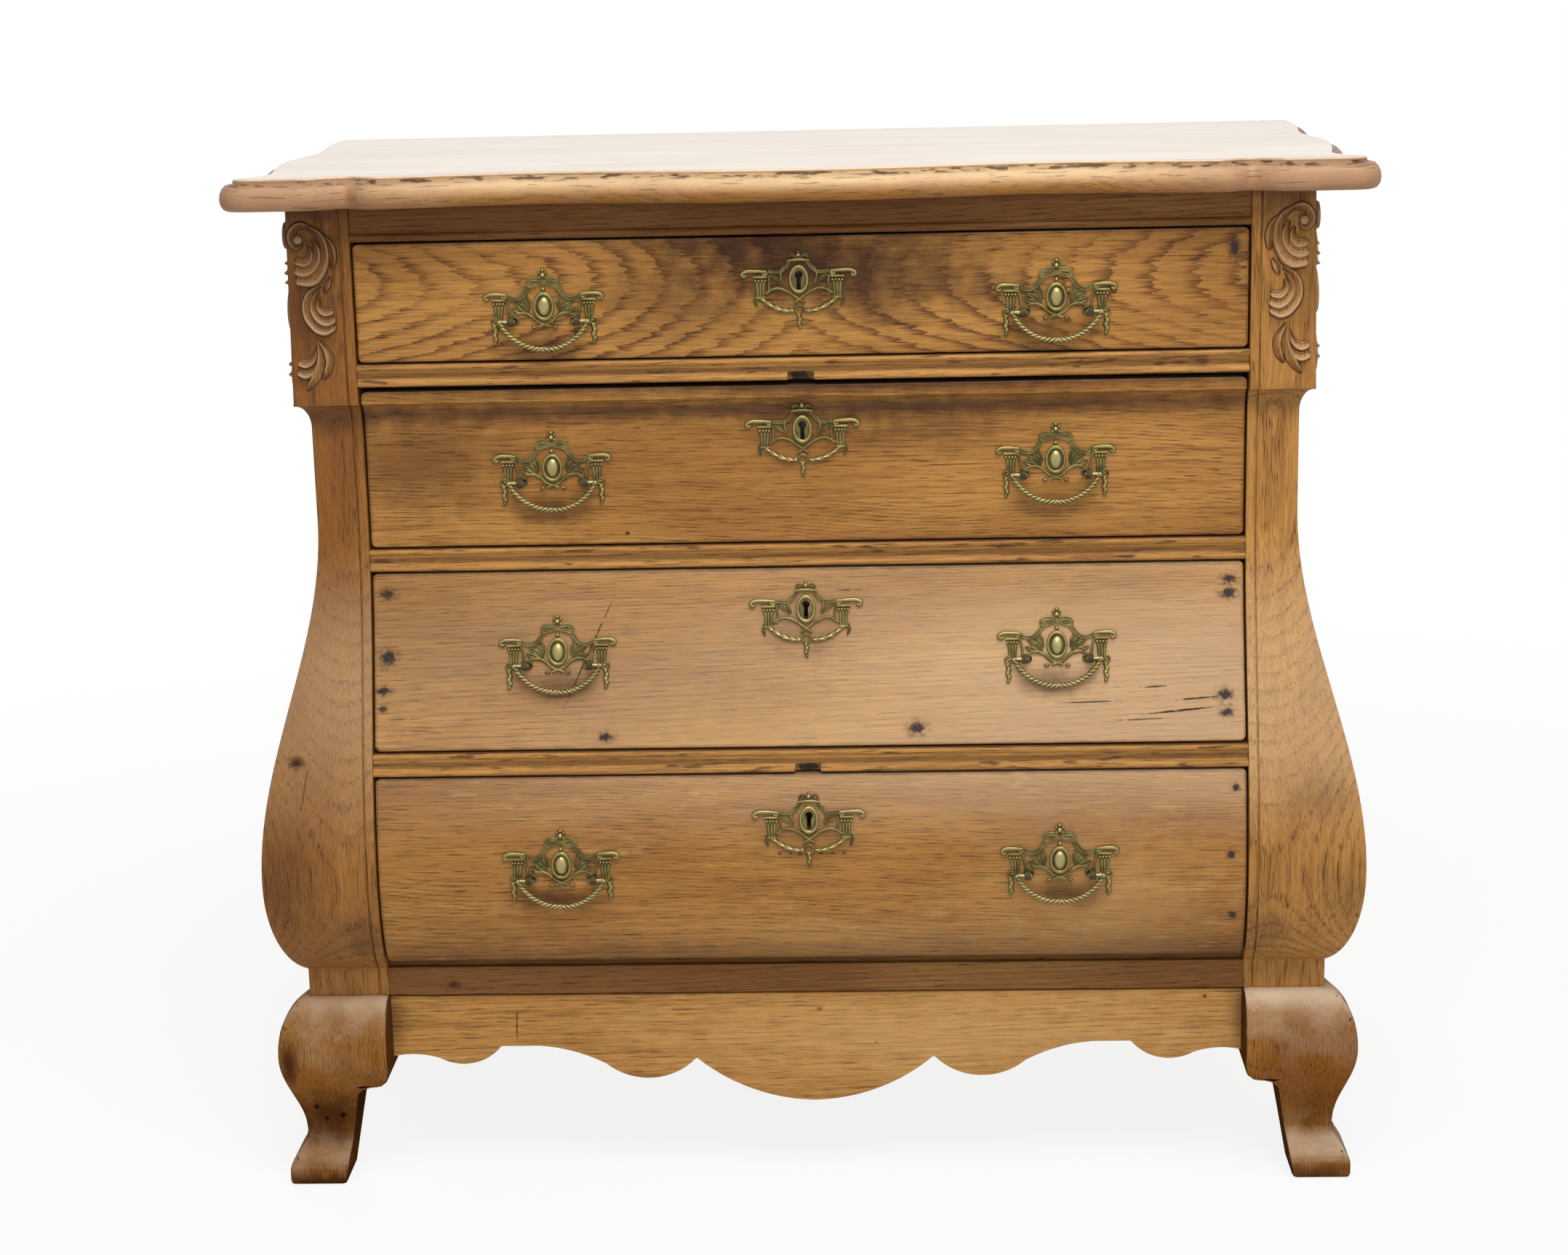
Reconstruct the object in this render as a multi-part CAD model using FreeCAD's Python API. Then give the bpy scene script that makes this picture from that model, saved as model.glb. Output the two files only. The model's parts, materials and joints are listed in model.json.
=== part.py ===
import FreeCAD, Part
import math
import os

# Oak kettle-base chest of four drawers with brass bail handles.
# Frame: +Z up, the front faces -Y, origin at the centre of the footprint on the floor.
# While modelling, Y is 0 at the front face of the carved blocks and grows to the back.
# "Reach" is how far a face stands out in front of that block face, or beside it on the sides.

V = FreeCAD.Vector

# Driving dimensions, millimetres

# Carcass
BLOCK_HALF_WIDTH = 436.0
POST_FACE_WIDTH = 56.0
CARCASS_DEPTH = 490.0
FOOT_HEIGHT = 172.0
BASE_RAIL_HEIGHT = 33.0
OPENING_HEIGHTS = [104.0, 143.5, 154.0, 174.5]
RAIL_HEIGHT = 20.0
TOP_RAIL_HEIGHT = 30.5
TOP_THICKNESS = 26.5

# Bombe line, shared by the posts, the sides, the rails and the drawer fronts
WAIST_REACH = -12.0
BELLY_REACH = 45.0
UNDER_REACH = 5.0
NECK_REACH = 15.5
BLOCK_HEIGHT = 169.5
BLOCK_TOP_SETBACK = 3.0
COVE_HEIGHT = 20.0
WAIST_DROP = 271.5
BELLY_RISE = 113.0
UNDER_RISE = 23.0
CURVE_POINTS = 9

# Posts, sides, back and bottom
POST_DEPTH = 70.0
REAR_POST_DEPTH = 45.0
PANEL_THICKNESS = 22.0
BACK_THICKNESS = 12.0
BACK_BOARD_COUNT = 5
BOTTOM_THICKNESS = 13.0
POST_BEAD_WIDTH = 7.0
QUIRK_WIDTH = 2.0
QUIRK_DEPTH = 2.5

# Feet
FOOT_TOP_REACH = 19.0
KNEE_REACH = 42.5
KNEE_DROP = 50.0
ANKLE_REACH = 24.0
ANKLE_RISE = 46.0
TOE_REACH = 39.0
TOE_RISE = 12.0
KNEE_BLOCK_DROP = 81.0
KNEE_CORNER = 16.0
LEG_INNER_REACH = -25.0
SOLE_INNER_REACH = -12.0
LEG_CORNER = 14.0
REAR_FOOT_DEPTH = 60.0

# Rails
BEAD_HEIGHT = 6.0
BEAD_PROUD = 2.4
FRIEZE_SETBACK = 3.0
FRIEZE_BEAD_HEIGHT = 7.0
BASE_COVE_HEIGHT = 7.0
BASE_COVE_DEPTH = 6.0
BASE_RAIL_SETBACK = 1.0
WORN_NOTCH_WIDTH = 22.0
WORN_NOTCH_HEIGHT = 7.5
WORN_NOTCH_DEPTH = 8.0

# Apron: scallop points are shares of its half width, with their height below its top edge
APRON_THICKNESS = 22.0
APRON_REACH = 12.0
APRON_TOP_GAP = 2.0
APRON_END_DROP = 58.0
LOBE_DROP = 103.0
CUSP_DROP = 61.5
SIDE_LOBE_DROP = 80.5
SIDE_LOBE_END_DROP = 66.5
STEP_DROP = 49.0
SMALL_LOBE_DROP = 65.0
SMALL_LOBE_END_DROP = 60.0
LOBE_FALL_SHARE = 0.24
RISE_SHARE = 0.3
END_ARCH = 2.0
CUSP_SHARE = 0.280
SIDE_LOBE_SHARE = 0.384
SIDE_LOBE_END_SHARE = 0.495
STEP_START_SHARE = 0.653
STEP_END_SHARE = 0.742
SMALL_LOBE_SHARE = 0.811
SMALL_LOBE_END_SHARE = 0.889

# Top
TOP_SIDE_REACH = 46.0
TOP_FRONT_REACH = 46.0
TOP_BACK_REACH = 30.0
TOP_BOW = 4.0
TOP_HOLLOW = 22.0
TOP_NOTCH = 15.0
NOTCH_HALF_WIDTH = 12.0
TOP_SIDE_HOLLOW = 19.0
TOP_REAR_HOLLOW = 6.0
TOP_REAR_FLARE = 9.0
EAR_WIDTH = 106.0
EAR_EASE = 30.0
EAR_CORNER = 40.0
EDGE_EASE = 1.0
STEP_INSET = 12.0
STEP_HEIGHT = 3.5
LEDGE_HEIGHT = 0.5
OVOLO_INSET = 9.0
OVOLO_HEIGHT = 13.0
NOSE_INSET = 6.5
OVOLO_STEPS = 4
NOSE_STEPS = 3
TOP_SAMPLES = 160
TOP_JOINT_SHARE = 0.52

# Runners
RUNNER_WIDTH = 50.0
GUIDE_HEIGHT = 25.0

# Drawers
DRAWER_SETBACK = 3.0
DRAWER_SIDE_GAP = 1.5
DRAWER_TOP_GAPS = [2.0, 4.0, 1.5, 1.5]
DRAWER_FOOT_GAP = 1.2
RUN_GAP = 0.3
FRONT_THICKNESS = 22.0
FRONT_CORNER = 5.0
SIDE_THICKNESS = 12.0
SIDE_TOP_DROP = 2.0
DRAWER_BACK_GAP = 28.0
DRAWER_BACK_DROP = 12.0
DRAWER_BACK_THICKNESS = 12.0
DRAWER_BOTTOM_THICKNESS = 8.0
DRAWER_BOTTOM_RISE = 6.0

# Locks
LOCK_WIDTH = 64.0
LOCK_HEIGHT = 52.0
LOCK_DEPTH = 12.0
BOLT_WIDTH = 24.0
BOLT_THICKNESS = 6.0
BOLT_LENGTH = 36.0
BOLT_GAP = 0.3
BOLT_SINK = 0.5
BOLT_ROOM = 44.0
MORTISE_GAP = 1.0
MORTISE_HEIGHT = 13.0
KEYHOLE_RADIUS = 3.4
KEYHOLE_SLOT_WIDTH = 3.6
KEYHOLE_SLOT_LENGTH = 14.0
KEYHOLE_LIFT = 3.8
KEYHOLE_RISES = [66.0, 99.5, 117.0, 133.5]

# Handles
HANDLE_OFFSET = 217.0
HANDLE_RISES = [47.0, 69.5, 83.5, 96.0]
PLATE_HALF_WIDTH = 50.0
PLATE_THICKNESS = 2.5
PLATE_GAP = 0.2
OVAL_HALF_WIDTH = 8.75
OVAL_HALF_HEIGHT = 12.0
OVAL_THICKNESS = 4.0
CREST_RISE = 20.0
CREST_HALF_WIDTH = 9.0
CREST_HALF_HEIGHT = 9.2
CREST_THICKNESS = 3.5
RIBBON_WIDTH = 5.0
RIBBON_BEND_SHARE = 0.5
RIBBON_BEND_RISE = 6.5
CAPITAL_RISE = 8.5
CAPITAL_HEIGHT = 5.0
CAPITAL_INSET = 8.0
CAPITAL_THICKNESS = 5.0
PILASTER_OFFSET = 38.5
PILASTER_WIDTH = 8.0
PILASTER_THICKNESS = 4.0
SCROLL_WIDTH = 4.0
SCROLL_END_DROP = 7.0
SCROLL_ROOT_DROP = 3.0
SPRAY_WIDTH = 3.0
SPRAY_START_SHARE = 0.5
SPRAY_START_DROP = 4.0
SPRAY_END_DROP = 16.0
SPRAY_CROSSING = 6.0
TASSEL_GAP = 1.0
TASSEL_START_DROP = 6.0
TASSEL_DROP = 32.0
TASSEL_WIDTH = 4.5
PIVOT_OFFSET = 37.5
PIVOT_DROP = 12.0
PIVOT_STANDOFF = 8.0
BAIL_DROP = 24.0
BAIL_RADIUS = 2.5
BAIL_REST_GAP = 1.0
PIN_RADIUS = 1.6
PIN_OVERHANG = 0.5
PIN_GAP = 0.1
KNUCKLE_GAP = 0.4
KNUCKLE_WIDTH = 5.6
KNUCKLE_HEIGHT = 8.0
STUD_RADIUS = 2.4
STUD_GAP = 0.1
STUD_END = 8.0
STUD_ROOT = 2.0
NUT_SIZE = 9.0
NUT_THICKNESS = 4.0

# Key plates
KEY_OVAL_HALF_WIDTH = 8.0
KEY_OVAL_HALF_HEIGHT = 11.5
KEY_PLATE_HALF_WIDTH = 48.0
KEY_PILASTER_OFFSET = 35.0
SWAG_START_DROP = 6.0
SWAG_BEND_SHARE = 0.62
SWAG_BEND_DROP = 21.75
SWAG_DROP = 29.0
SWAG_WIDTH = 4.0
SWAG_THICKNESS = 3.5
STEM_START_DROP = 10.0
STEM_WIDTH = 3.0
TONGUE_START_DROP = 26.0
TONGUE_DROP = 41.0
TONGUE_WIDTH = 4.0
TONGUE_THICKNESS = 3.0


# Levels worked out from the driving dimensions
def opening_levels():
    levels = []
    level = FOOT_HEIGHT + BASE_RAIL_HEIGHT
    for height in reversed(OPENING_HEIGHTS):
        levels.insert(0, (level, level + height))
        level += height + RAIL_HEIGHT
    return levels


OPENINGS = opening_levels()
OPENING_HALF_WIDTH = BLOCK_HALF_WIDTH - POST_FACE_WIDTH
TOP_HALF_WIDTH = BLOCK_HALF_WIDTH + TOP_SIDE_REACH
KNEE_RISE = FOOT_HEIGHT - KNEE_DROP
KNEE_BLOCK_FOOT = FOOT_HEIGHT - KNEE_BLOCK_DROP
BASE_TOP = FOOT_HEIGHT + BASE_RAIL_HEIGHT
TOP_RAIL_FOOT = OPENINGS[0][1]
TOP_UNDERSIDE = TOP_RAIL_FOOT + TOP_RAIL_HEIGHT
HEIGHT = TOP_UNDERSIDE + TOP_THICKNESS
BLOCK_FOOT = TOP_UNDERSIDE - BLOCK_HEIGHT
COVE_FOOT = BLOCK_FOOT - COVE_HEIGHT
SHOULDER = TOP_UNDERSIDE - WAIST_DROP
BELLY = FOOT_HEIGHT + BELLY_RISE
UNDER = FOOT_HEIGHT + UNDER_RISE
PANEL_INNER = BLOCK_HALF_WIDTH + WAIST_REACH - PANEL_THICKNESS
BACK_FACE = CARCASS_DEPTH - BACK_THICKNESS
REAR_POST_FACE = CARCASS_DEPTH - REAR_POST_DEPTH
DRAWER_HALF_WIDTH = OPENING_HALF_WIDTH - DRAWER_SIDE_GAP
DRAWER_BACK = BACK_FACE - DRAWER_BACK_GAP
TOP_BACK = CARCASS_DEPTH + TOP_BACK_REACH
OUTSIDE = BLOCK_HALF_WIDTH + BELLY_REACH + KNEE_REACH
FOOT_INNER_REACH = OPENING_HALF_WIDTH - BLOCK_HALF_WIDTH


# Plain solids
def box(x_low, x_high, y_low, y_high, z_low, z_high):
    return Part.makeBox(x_high - x_low, y_high - y_low, z_high - z_low, V(x_low, y_low, z_low))


def mirrored(shape):
    return shape.mirror(V(0, 0, 0), V(1, 0, 0))


def fused(shapes):
    return shapes[0].fuse(shapes[1:]).removeSplitter()


def run_edge(points):
    if len(points) == 2:
        return Part.makeLine(points[0], points[1])
    curve = Part.BSplineCurve()
    curve.interpolate(points)
    return curve.toShape()


def face_of(runs):
    return Part.Face(Part.Wire([run_edge(points) for points in runs]))


# Bombe line as runs of (reach, height) from the top down
def half_cosine(start, end):
    points = []
    for step in range(CURVE_POINTS):
        share = step / (CURVE_POINTS - 1)
        swing = (1 - math.cos(math.pi * share)) / 2
        height = start[1] + (end[1] - start[1]) * share
        points.append((start[0] + (end[0] - start[0]) * swing, height))
    return points


def block_cove():
    points = []
    for step in range(CURVE_POINTS):
        angle = math.pi / 2 * step / (CURVE_POINTS - 1)
        points.append((WAIST_REACH * math.sin(angle), BLOCK_FOOT - COVE_HEIGHT * (1 - math.cos(angle))))
    return points


def belly_underside():
    reach_span = BELLY_REACH - UNDER_REACH
    neck_angle = math.acos((NECK_REACH - UNDER_REACH) / reach_span)
    points = []
    for step in range(CURVE_POINTS):
        angle = neck_angle * step / (CURVE_POINTS - 1)
        points.append((UNDER_REACH + reach_span * math.cos(angle), BELLY - (BELLY - UNDER) * math.sin(angle)))
    return points


def bombe_line(with_block, block_top=0.0):
    if with_block:
        runs = [[(block_top, TOP_UNDERSIDE), (0, BLOCK_FOOT)], block_cove()]
        runs.append([(WAIST_REACH, COVE_FOOT), (WAIST_REACH, SHOULDER)])
    else:
        runs = [[(WAIST_REACH, TOP_UNDERSIDE), (WAIST_REACH, SHOULDER)]]
    runs.append(half_cosine((WAIST_REACH, SHOULDER), (BELLY_REACH, BELLY)))
    underside = belly_underside()
    runs.append(underside)
    runs.append([underside[-1], (NECK_REACH, FOOT_HEIGHT)])
    return runs


def reach(height):
    if height >= BLOCK_FOOT:
        return 0.0
    if height >= COVE_FOOT:
        return WAIST_REACH * math.sin(math.acos(1 - (BLOCK_FOOT - height) / COVE_HEIGHT))
    if height >= SHOULDER:
        return WAIST_REACH
    if height >= BELLY:
        share = (SHOULDER - height) / (SHOULDER - BELLY)
        return WAIST_REACH + (BELLY_REACH - WAIST_REACH) * (1 - math.cos(math.pi * share)) / 2
    share = min(1.0, (BELLY - height) / (BELLY - UNDER))
    return max(NECK_REACH, UNDER_REACH + (BELLY_REACH - UNDER_REACH) * math.sqrt(1 - share * share))


def lean(height):
    step = 1.0
    return math.degrees(math.atan((reach(height - step) - reach(height + step)) / (2 * step)))


def closed_runs(runs, inner, to_point):
    first = runs[0][0]
    last = runs[-1][-1]
    closing = [[last, (inner, last[1])], [(inner, last[1]), (inner, first[1])], [(inner, first[1]), first]]
    return [[to_point(*point) for point in run] for run in runs + closing]


def front_slab(x_low, x_high, back, setback=0.0):
    runs = closed_runs(bombe_line(True), -back + setback, lambda out, z: V(x_low, setback - out, z))
    return face_of(runs).extrude(V(x_high - x_low, 0, 0))


def side_slab(y_low, y_high, with_block):
    inner = OPENING_HALF_WIDTH if with_block else PANEL_INNER
    line = bombe_line(with_block, -BLOCK_TOP_SETBACK)
    runs = closed_runs(line, inner - BLOCK_HALF_WIDTH, lambda out, z: V(BLOCK_HALF_WIDTH + out, y_low, z))
    return face_of(runs).extrude(V(0, y_high - y_low, 0))


# Posts, sides and feet
def front_post():
    front = front_slab(OPENING_HALF_WIDTH, OUTSIDE, POST_DEPTH)
    side = side_slab(-OUTSIDE, POST_DEPTH, True)
    quirk_start = OPENING_HALF_WIDTH + POST_BEAD_WIDTH
    quirk_end = quirk_start + QUIRK_WIDTH
    kept = front_slab(quirk_start, quirk_end, POST_DEPTH, QUIRK_DEPTH)
    quirk = box(quirk_start, quirk_end, -OUTSIDE, POST_DEPTH, FOOT_HEIGHT, TOP_UNDERSIDE).cut(kept)
    return front.common(side).cut(quirk)


def knee_curve():
    points = []
    for step in range(CURVE_POINTS):
        angle = math.pi / 2 * step / (CURVE_POINTS - 1)
        out = FOOT_TOP_REACH + (KNEE_REACH - FOOT_TOP_REACH) * math.sin(angle)
        points.append((out, KNEE_RISE + (FOOT_HEIGHT - KNEE_RISE) * math.cos(angle)))
    return points


def foot_face(to_point):
    outer = [knee_curve()]
    outer.append(half_cosine((KNEE_REACH, KNEE_RISE), (ANKLE_REACH, ANKLE_RISE)))
    outer.append(half_cosine((ANKLE_REACH, ANKLE_RISE), (TOE_REACH, TOE_RISE)))
    outer.append([(TOE_REACH, TOE_RISE), (TOE_REACH, 0)])
    diagonal = math.sqrt(0.5)
    knee_end = (FOOT_INNER_REACH + KNEE_CORNER, KNEE_BLOCK_FOOT)
    knee_middle = (knee_end[0] - KNEE_CORNER * diagonal, KNEE_BLOCK_FOOT + KNEE_CORNER * (1 - diagonal))
    leg_start = (LEG_INNER_REACH, KNEE_BLOCK_FOOT - LEG_CORNER)
    leg_middle = (LEG_INNER_REACH - LEG_CORNER * (1 - diagonal), leg_start[1] + LEG_CORNER * diagonal)
    inner = [[(TOE_REACH, 0), (SOLE_INNER_REACH, 0)], [(SOLE_INNER_REACH, 0), leg_start]]
    inner.append([leg_start, leg_middle, (LEG_INNER_REACH - LEG_CORNER, KNEE_BLOCK_FOOT)])
    inner.append([(LEG_INNER_REACH - LEG_CORNER, KNEE_BLOCK_FOOT), knee_end])
    inner.append([knee_end, knee_middle, (FOOT_INNER_REACH, KNEE_BLOCK_FOOT + KNEE_CORNER)])
    inner.append([(FOOT_INNER_REACH, KNEE_BLOCK_FOOT + KNEE_CORNER), (FOOT_INNER_REACH, FOOT_HEIGHT)])
    inner.append([(FOOT_INNER_REACH, FOOT_HEIGHT), (FOOT_TOP_REACH, FOOT_HEIGHT)])
    return face_of([[to_point(*point) for point in run] for run in outer + inner])


def front_foot():
    across = foot_face(lambda out, z: V(BLOCK_HALF_WIDTH + out, -OUTSIDE, z)).extrude(V(0, 2 * OUTSIDE, 0))
    along = foot_face(lambda out, z: V(0, -out, z)).extrude(V(OUTSIDE, 0, 0))
    return across.common(along)


def rear_post():
    stile = side_slab(REAR_POST_FACE, CARCASS_DEPTH, False)
    foot_front = CARCASS_DEPTH - REAR_FOOT_DEPTH
    foot = foot_face(lambda out, z: V(BLOCK_HALF_WIDTH + out, foot_front, z)).extrude(V(0, REAR_FOOT_DEPTH, 0))
    return stile.fuse(foot)


# Rails
def moulded_rail(low, high):
    def face_at(height):
        return V(-OPENING_HALF_WIDTH, BEAD_PROUD - reach(height), height)

    def bead(start, end):
        middle = face_at((start + end) / 2) - V(0, BEAD_PROUD, 0)
        return Part.Arc(face_at(start), middle, face_at(end)).toShape()

    top_back = V(-OPENING_HALF_WIDTH, POST_DEPTH, high)
    foot_back = V(-OPENING_HALF_WIDTH, POST_DEPTH, low)
    edges = [Part.makeLine(top_back, face_at(high)), bead(high, high - BEAD_HEIGHT)]
    edges.append(Part.makeLine(face_at(high - BEAD_HEIGHT), face_at(low + BEAD_HEIGHT)))
    edges += [bead(low + BEAD_HEIGHT, low), Part.makeLine(face_at(low), foot_back)]
    edges.append(Part.makeLine(foot_back, top_back))
    return Part.Face(Part.Wire(edges)).extrude(V(2 * OPENING_HALF_WIDTH, 0, 0))


def worn_notch(low):
    front = -reach(low)
    half = WORN_NOTCH_WIDTH / 2
    return box(-half, half, front - WORN_NOTCH_DEPTH, front + WORN_NOTCH_DEPTH, low, low + WORN_NOTCH_HEIGHT)


def mortise(number):
    half = BOLT_WIDTH / 2 + MORTISE_GAP
    middle = front_back(number) - LOCK_DEPTH / 2
    depth = BOLT_THICKNESS / 2 + MORTISE_GAP
    level = OPENINGS[number - 1][1]
    return box(-half, half, middle - depth, middle + depth, level, level + MORTISE_HEIGHT)


def drawer_rail(number):
    low = OPENINGS[number - 1][0] - RAIL_HEIGHT
    rail = moulded_rail(low, low + RAIL_HEIGHT).cut(mortise(number + 1))
    if number == 2:
        return rail
    return rail.cut(worn_notch(low))


def top_rail():
    def at(out, height):
        return V(-OPENING_HALF_WIDTH, -out, height)

    bead_top = TOP_RAIL_FOOT + FRIEZE_BEAD_HEIGHT
    bead_middle = at(0, TOP_RAIL_FOOT + FRIEZE_BEAD_HEIGHT / 2)
    corners = [at(-FRIEZE_SETBACK, TOP_RAIL_FOOT), at(-POST_DEPTH, TOP_RAIL_FOOT)]
    corners += [at(-POST_DEPTH, TOP_UNDERSIDE), at(-FRIEZE_SETBACK, TOP_UNDERSIDE), at(-FRIEZE_SETBACK, bead_top)]
    edges = [Part.makeLine(start, end) for start, end in zip(corners, corners[1:])]
    edges.append(Part.Arc(corners[-1], bead_middle, corners[0]).toShape())
    rail = Part.Face(Part.Wire(edges)).extrude(V(2 * OPENING_HALF_WIDTH, 0, 0))
    return rail.cut(mortise(1))


def base_rail():
    front = BASE_RAIL_SETBACK - NECK_REACH
    rail = box(-OPENING_HALF_WIDTH, OPENING_HALF_WIDTH, front, POST_DEPTH, FOOT_HEIGHT, BASE_TOP)
    cove = box(
        -OPENING_HALF_WIDTH, OPENING_HALF_WIDTH, front, front + BASE_COVE_DEPTH, BASE_TOP - BASE_COVE_HEIGHT, BASE_TOP
    )
    return rail.cut(cove)


def scallop_runs():
    def at(share, drop):
        return V(share * OPENING_HALF_WIDTH, -APRON_REACH, FOOT_HEIGHT - APRON_TOP_GAP - drop)

    def arc(start, middle, end):
        return Part.Arc(at(*start), at(*middle), at(*end)).toShape()

    cusp = (CUSP_SHARE, CUSP_DROP)
    lobe_end = (SIDE_LOBE_END_SHARE, SIDE_LOBE_END_DROP)
    step_start = (STEP_START_SHARE, STEP_DROP)
    step_end = (STEP_END_SHARE, STEP_DROP)
    small_end = (SMALL_LOBE_END_SHARE, SMALL_LOBE_END_DROP)
    rise_share = (SIDE_LOBE_END_SHARE + STEP_START_SHARE) / 2
    rise_drop = STEP_DROP + (SIDE_LOBE_END_DROP - STEP_DROP) * RISE_SHARE
    end_share = (SMALL_LOBE_END_SHARE + 1) / 2
    lobe_middle = (CUSP_SHARE / 2, LOBE_DROP - (LOBE_DROP - CUSP_DROP) * LOBE_FALL_SHARE)
    edges = [arc((0, LOBE_DROP), lobe_middle, cusp)]
    edges.append(arc(cusp, (SIDE_LOBE_SHARE, SIDE_LOBE_DROP), lobe_end))
    edges.append(arc(lobe_end, (rise_share, rise_drop), step_start))
    edges.append(Part.makeLine(at(*step_start), at(*step_end)))
    edges.append(arc(step_end, (SMALL_LOBE_SHARE, SMALL_LOBE_DROP), small_end))
    edges.append(arc(small_end, (end_share, APRON_END_DROP - END_ARCH), (1, APRON_END_DROP)))
    edges.append(Part.makeLine(at(1, APRON_END_DROP), at(1, 0)))
    edges.append(Part.makeLine(at(1, 0), at(0, 0)))
    edges.append(Part.makeLine(at(0, 0), at(0, LOBE_DROP)))
    return edges


def front_apron():
    half = Part.Face(Part.Wire(scallop_runs())).extrude(V(0, APRON_THICKNESS, 0))
    return fused([half, mirrored(half)])


# Top, with its moulded edge worked round the shaped outline
def top_outline():
    front = -TOP_FRONT_REACH
    side = TOP_HALF_WIDTH
    ear = side - EAR_WIDTH
    length = TOP_BACK - front
    wave = [(0.0, -TOP_BOW), (0.19, -TOP_BOW * 0.3), (0.40, TOP_HOLLOW * 0.68), (0.57, TOP_HOLLOW)]
    wave += [(0.74, TOP_HOLLOW * 0.62), (0.89, TOP_HOLLOW * 0.12)]
    half = [(share * ear, front + inward) for share, inward in wave]
    half += [(ear - NOTCH_HALF_WIDTH, front + TOP_NOTCH * 0.4), (ear, front + TOP_NOTCH)]
    half += [(ear + NOTCH_HALF_WIDTH, front + TOP_NOTCH * 0.5), (ear + EAR_EASE, front)]
    corner = [(1.0, 0.0), (0.38, 0.05), (0.08, 0.28), (0.0, 0.6)]
    half += [(side - EAR_CORNER * across, front + EAR_CORNER * along) for across, along in corner]
    hollow = [(0.075, 0.5), (0.105, 0.95), (0.14, 1.0), (0.20, 0.75), (0.28, 0.38), (0.36, 0.1), (0.43, 0.0)]
    half += [(side - TOP_SIDE_HOLLOW * share, front + length * along) for along, share in hollow]
    rear = [(0.52, 0.55), (0.60, 1.0), (0.68, 0.6)]
    half += [(side - TOP_REAR_HOLLOW * share, front + length * along) for along, share in rear]
    flare = [(0.78, 0.35), (0.87, 0.85), (0.94, 1.0), (1.0, 1.0)]
    half += [(side + TOP_REAR_FLARE * share, front + length * along) for along, share in flare]
    return [(-x, y) for x, y in reversed(half[1:])] + half


def top_wire(outline, inset, height):
    first, last = outline.FirstParameter, outline.LastParameter
    points = []
    for step in range(TOP_SAMPLES + 1):
        place = first + (last - first) * step / TOP_SAMPLES
        point = outline.value(place)
        ahead = outline.tangent(place)[0]
        points.append(V(point.x - ahead.y * inset, point.y + ahead.x * inset, height))
    points[0] = V(points[0].x, TOP_BACK, height)
    points[-1] = V(points[-1].x, TOP_BACK, height)
    return Part.Wire([run_edge(points), Part.makeLine(points[-1], points[0])])


def top_edge_profile():
    ovolo_top = STEP_HEIGHT + LEDGE_HEIGHT
    profile = [(STEP_INSET + EDGE_EASE, 0), (STEP_INSET, EDGE_EASE), (STEP_INSET, STEP_HEIGHT)]
    for step in range(OVOLO_STEPS + 1):
        angle = math.pi / 2 * step / OVOLO_STEPS
        profile.append((OVOLO_INSET * (1 - math.sin(angle)), ovolo_top + OVOLO_HEIGHT * (1 - math.cos(angle))))
    nose_height = TOP_THICKNESS - ovolo_top - OVOLO_HEIGHT
    for step in range(1, NOSE_STEPS + 1):
        angle = math.pi / 2 * step / NOSE_STEPS
        profile.append((NOSE_INSET * (1 - math.cos(angle)), TOP_THICKNESS - nose_height * (1 - math.sin(angle))))
    return profile


def whole_top():
    outline = Part.BSplineCurve()
    outline.interpolate([V(x, y, 0) for x, y in top_outline()])
    wires = [top_wire(outline, inset, HEIGHT - drop) for inset, drop in top_edge_profile()]
    return Part.makeLoft(wires, True, True)


def top_boards():
    top = whole_top()
    joint = -TOP_FRONT_REACH + (TOP_BACK + TOP_FRONT_REACH) * TOP_JOINT_SHARE
    front_half = box(-OUTSIDE, OUTSIDE, -OUTSIDE, joint, 0, 2 * HEIGHT)
    return top.common(front_half), top.cut(front_half)


# Inside of the carcass
def runner(number):
    level = OPENINGS[number - 1][0]
    bearer = box(PANEL_INNER - RUNNER_WIDTH, PANEL_INNER, POST_DEPTH, BACK_FACE, level - RAIL_HEIGHT, level)
    guide = box(OPENING_HALF_WIDTH, PANEL_INNER, POST_DEPTH, BACK_FACE, level, level + GUIDE_HEIGHT)
    return fused([bearer, guide])


def drawer_runners():
    right = [runner(number) for number in (1, 2, 3, 4)]
    return right + [mirrored(solid) for solid in right]


def top_kickers():
    right = box(PANEL_INNER - RUNNER_WIDTH, PANEL_INNER, POST_DEPTH, BACK_FACE, TOP_RAIL_FOOT, TOP_UNDERSIDE)
    return [right, mirrored(right)]


def bottom_board():
    top = BASE_TOP - RAIL_HEIGHT
    return box(-PANEL_INNER, PANEL_INNER, POST_DEPTH, BACK_FACE, top - BOTTOM_THICKNESS, top)


def back_boards():
    width = 2 * PANEL_INNER / BACK_BOARD_COUNT
    boards = []
    for index in range(BACK_BOARD_COUNT):
        left = -PANEL_INNER + width * index
        boards.append(box(left, left + width, BACK_FACE, CARCASS_DEPTH, FOOT_HEIGHT, TOP_UNDERSIDE))
    return boards


# Drawers
def drawer_levels(number):
    low, high = OPENINGS[number - 1]
    return low + DRAWER_FOOT_GAP, high - DRAWER_TOP_GAPS[number - 1]


def front_back(number):
    low, high = drawer_levels(number)
    steps = 20
    faces = [DRAWER_SETBACK - reach(low + (high - low) * step / steps) for step in range(steps + 1)]
    return max(faces) + FRONT_THICKNESS


def front_face(height):
    return DRAWER_SETBACK - reach(height)


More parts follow.
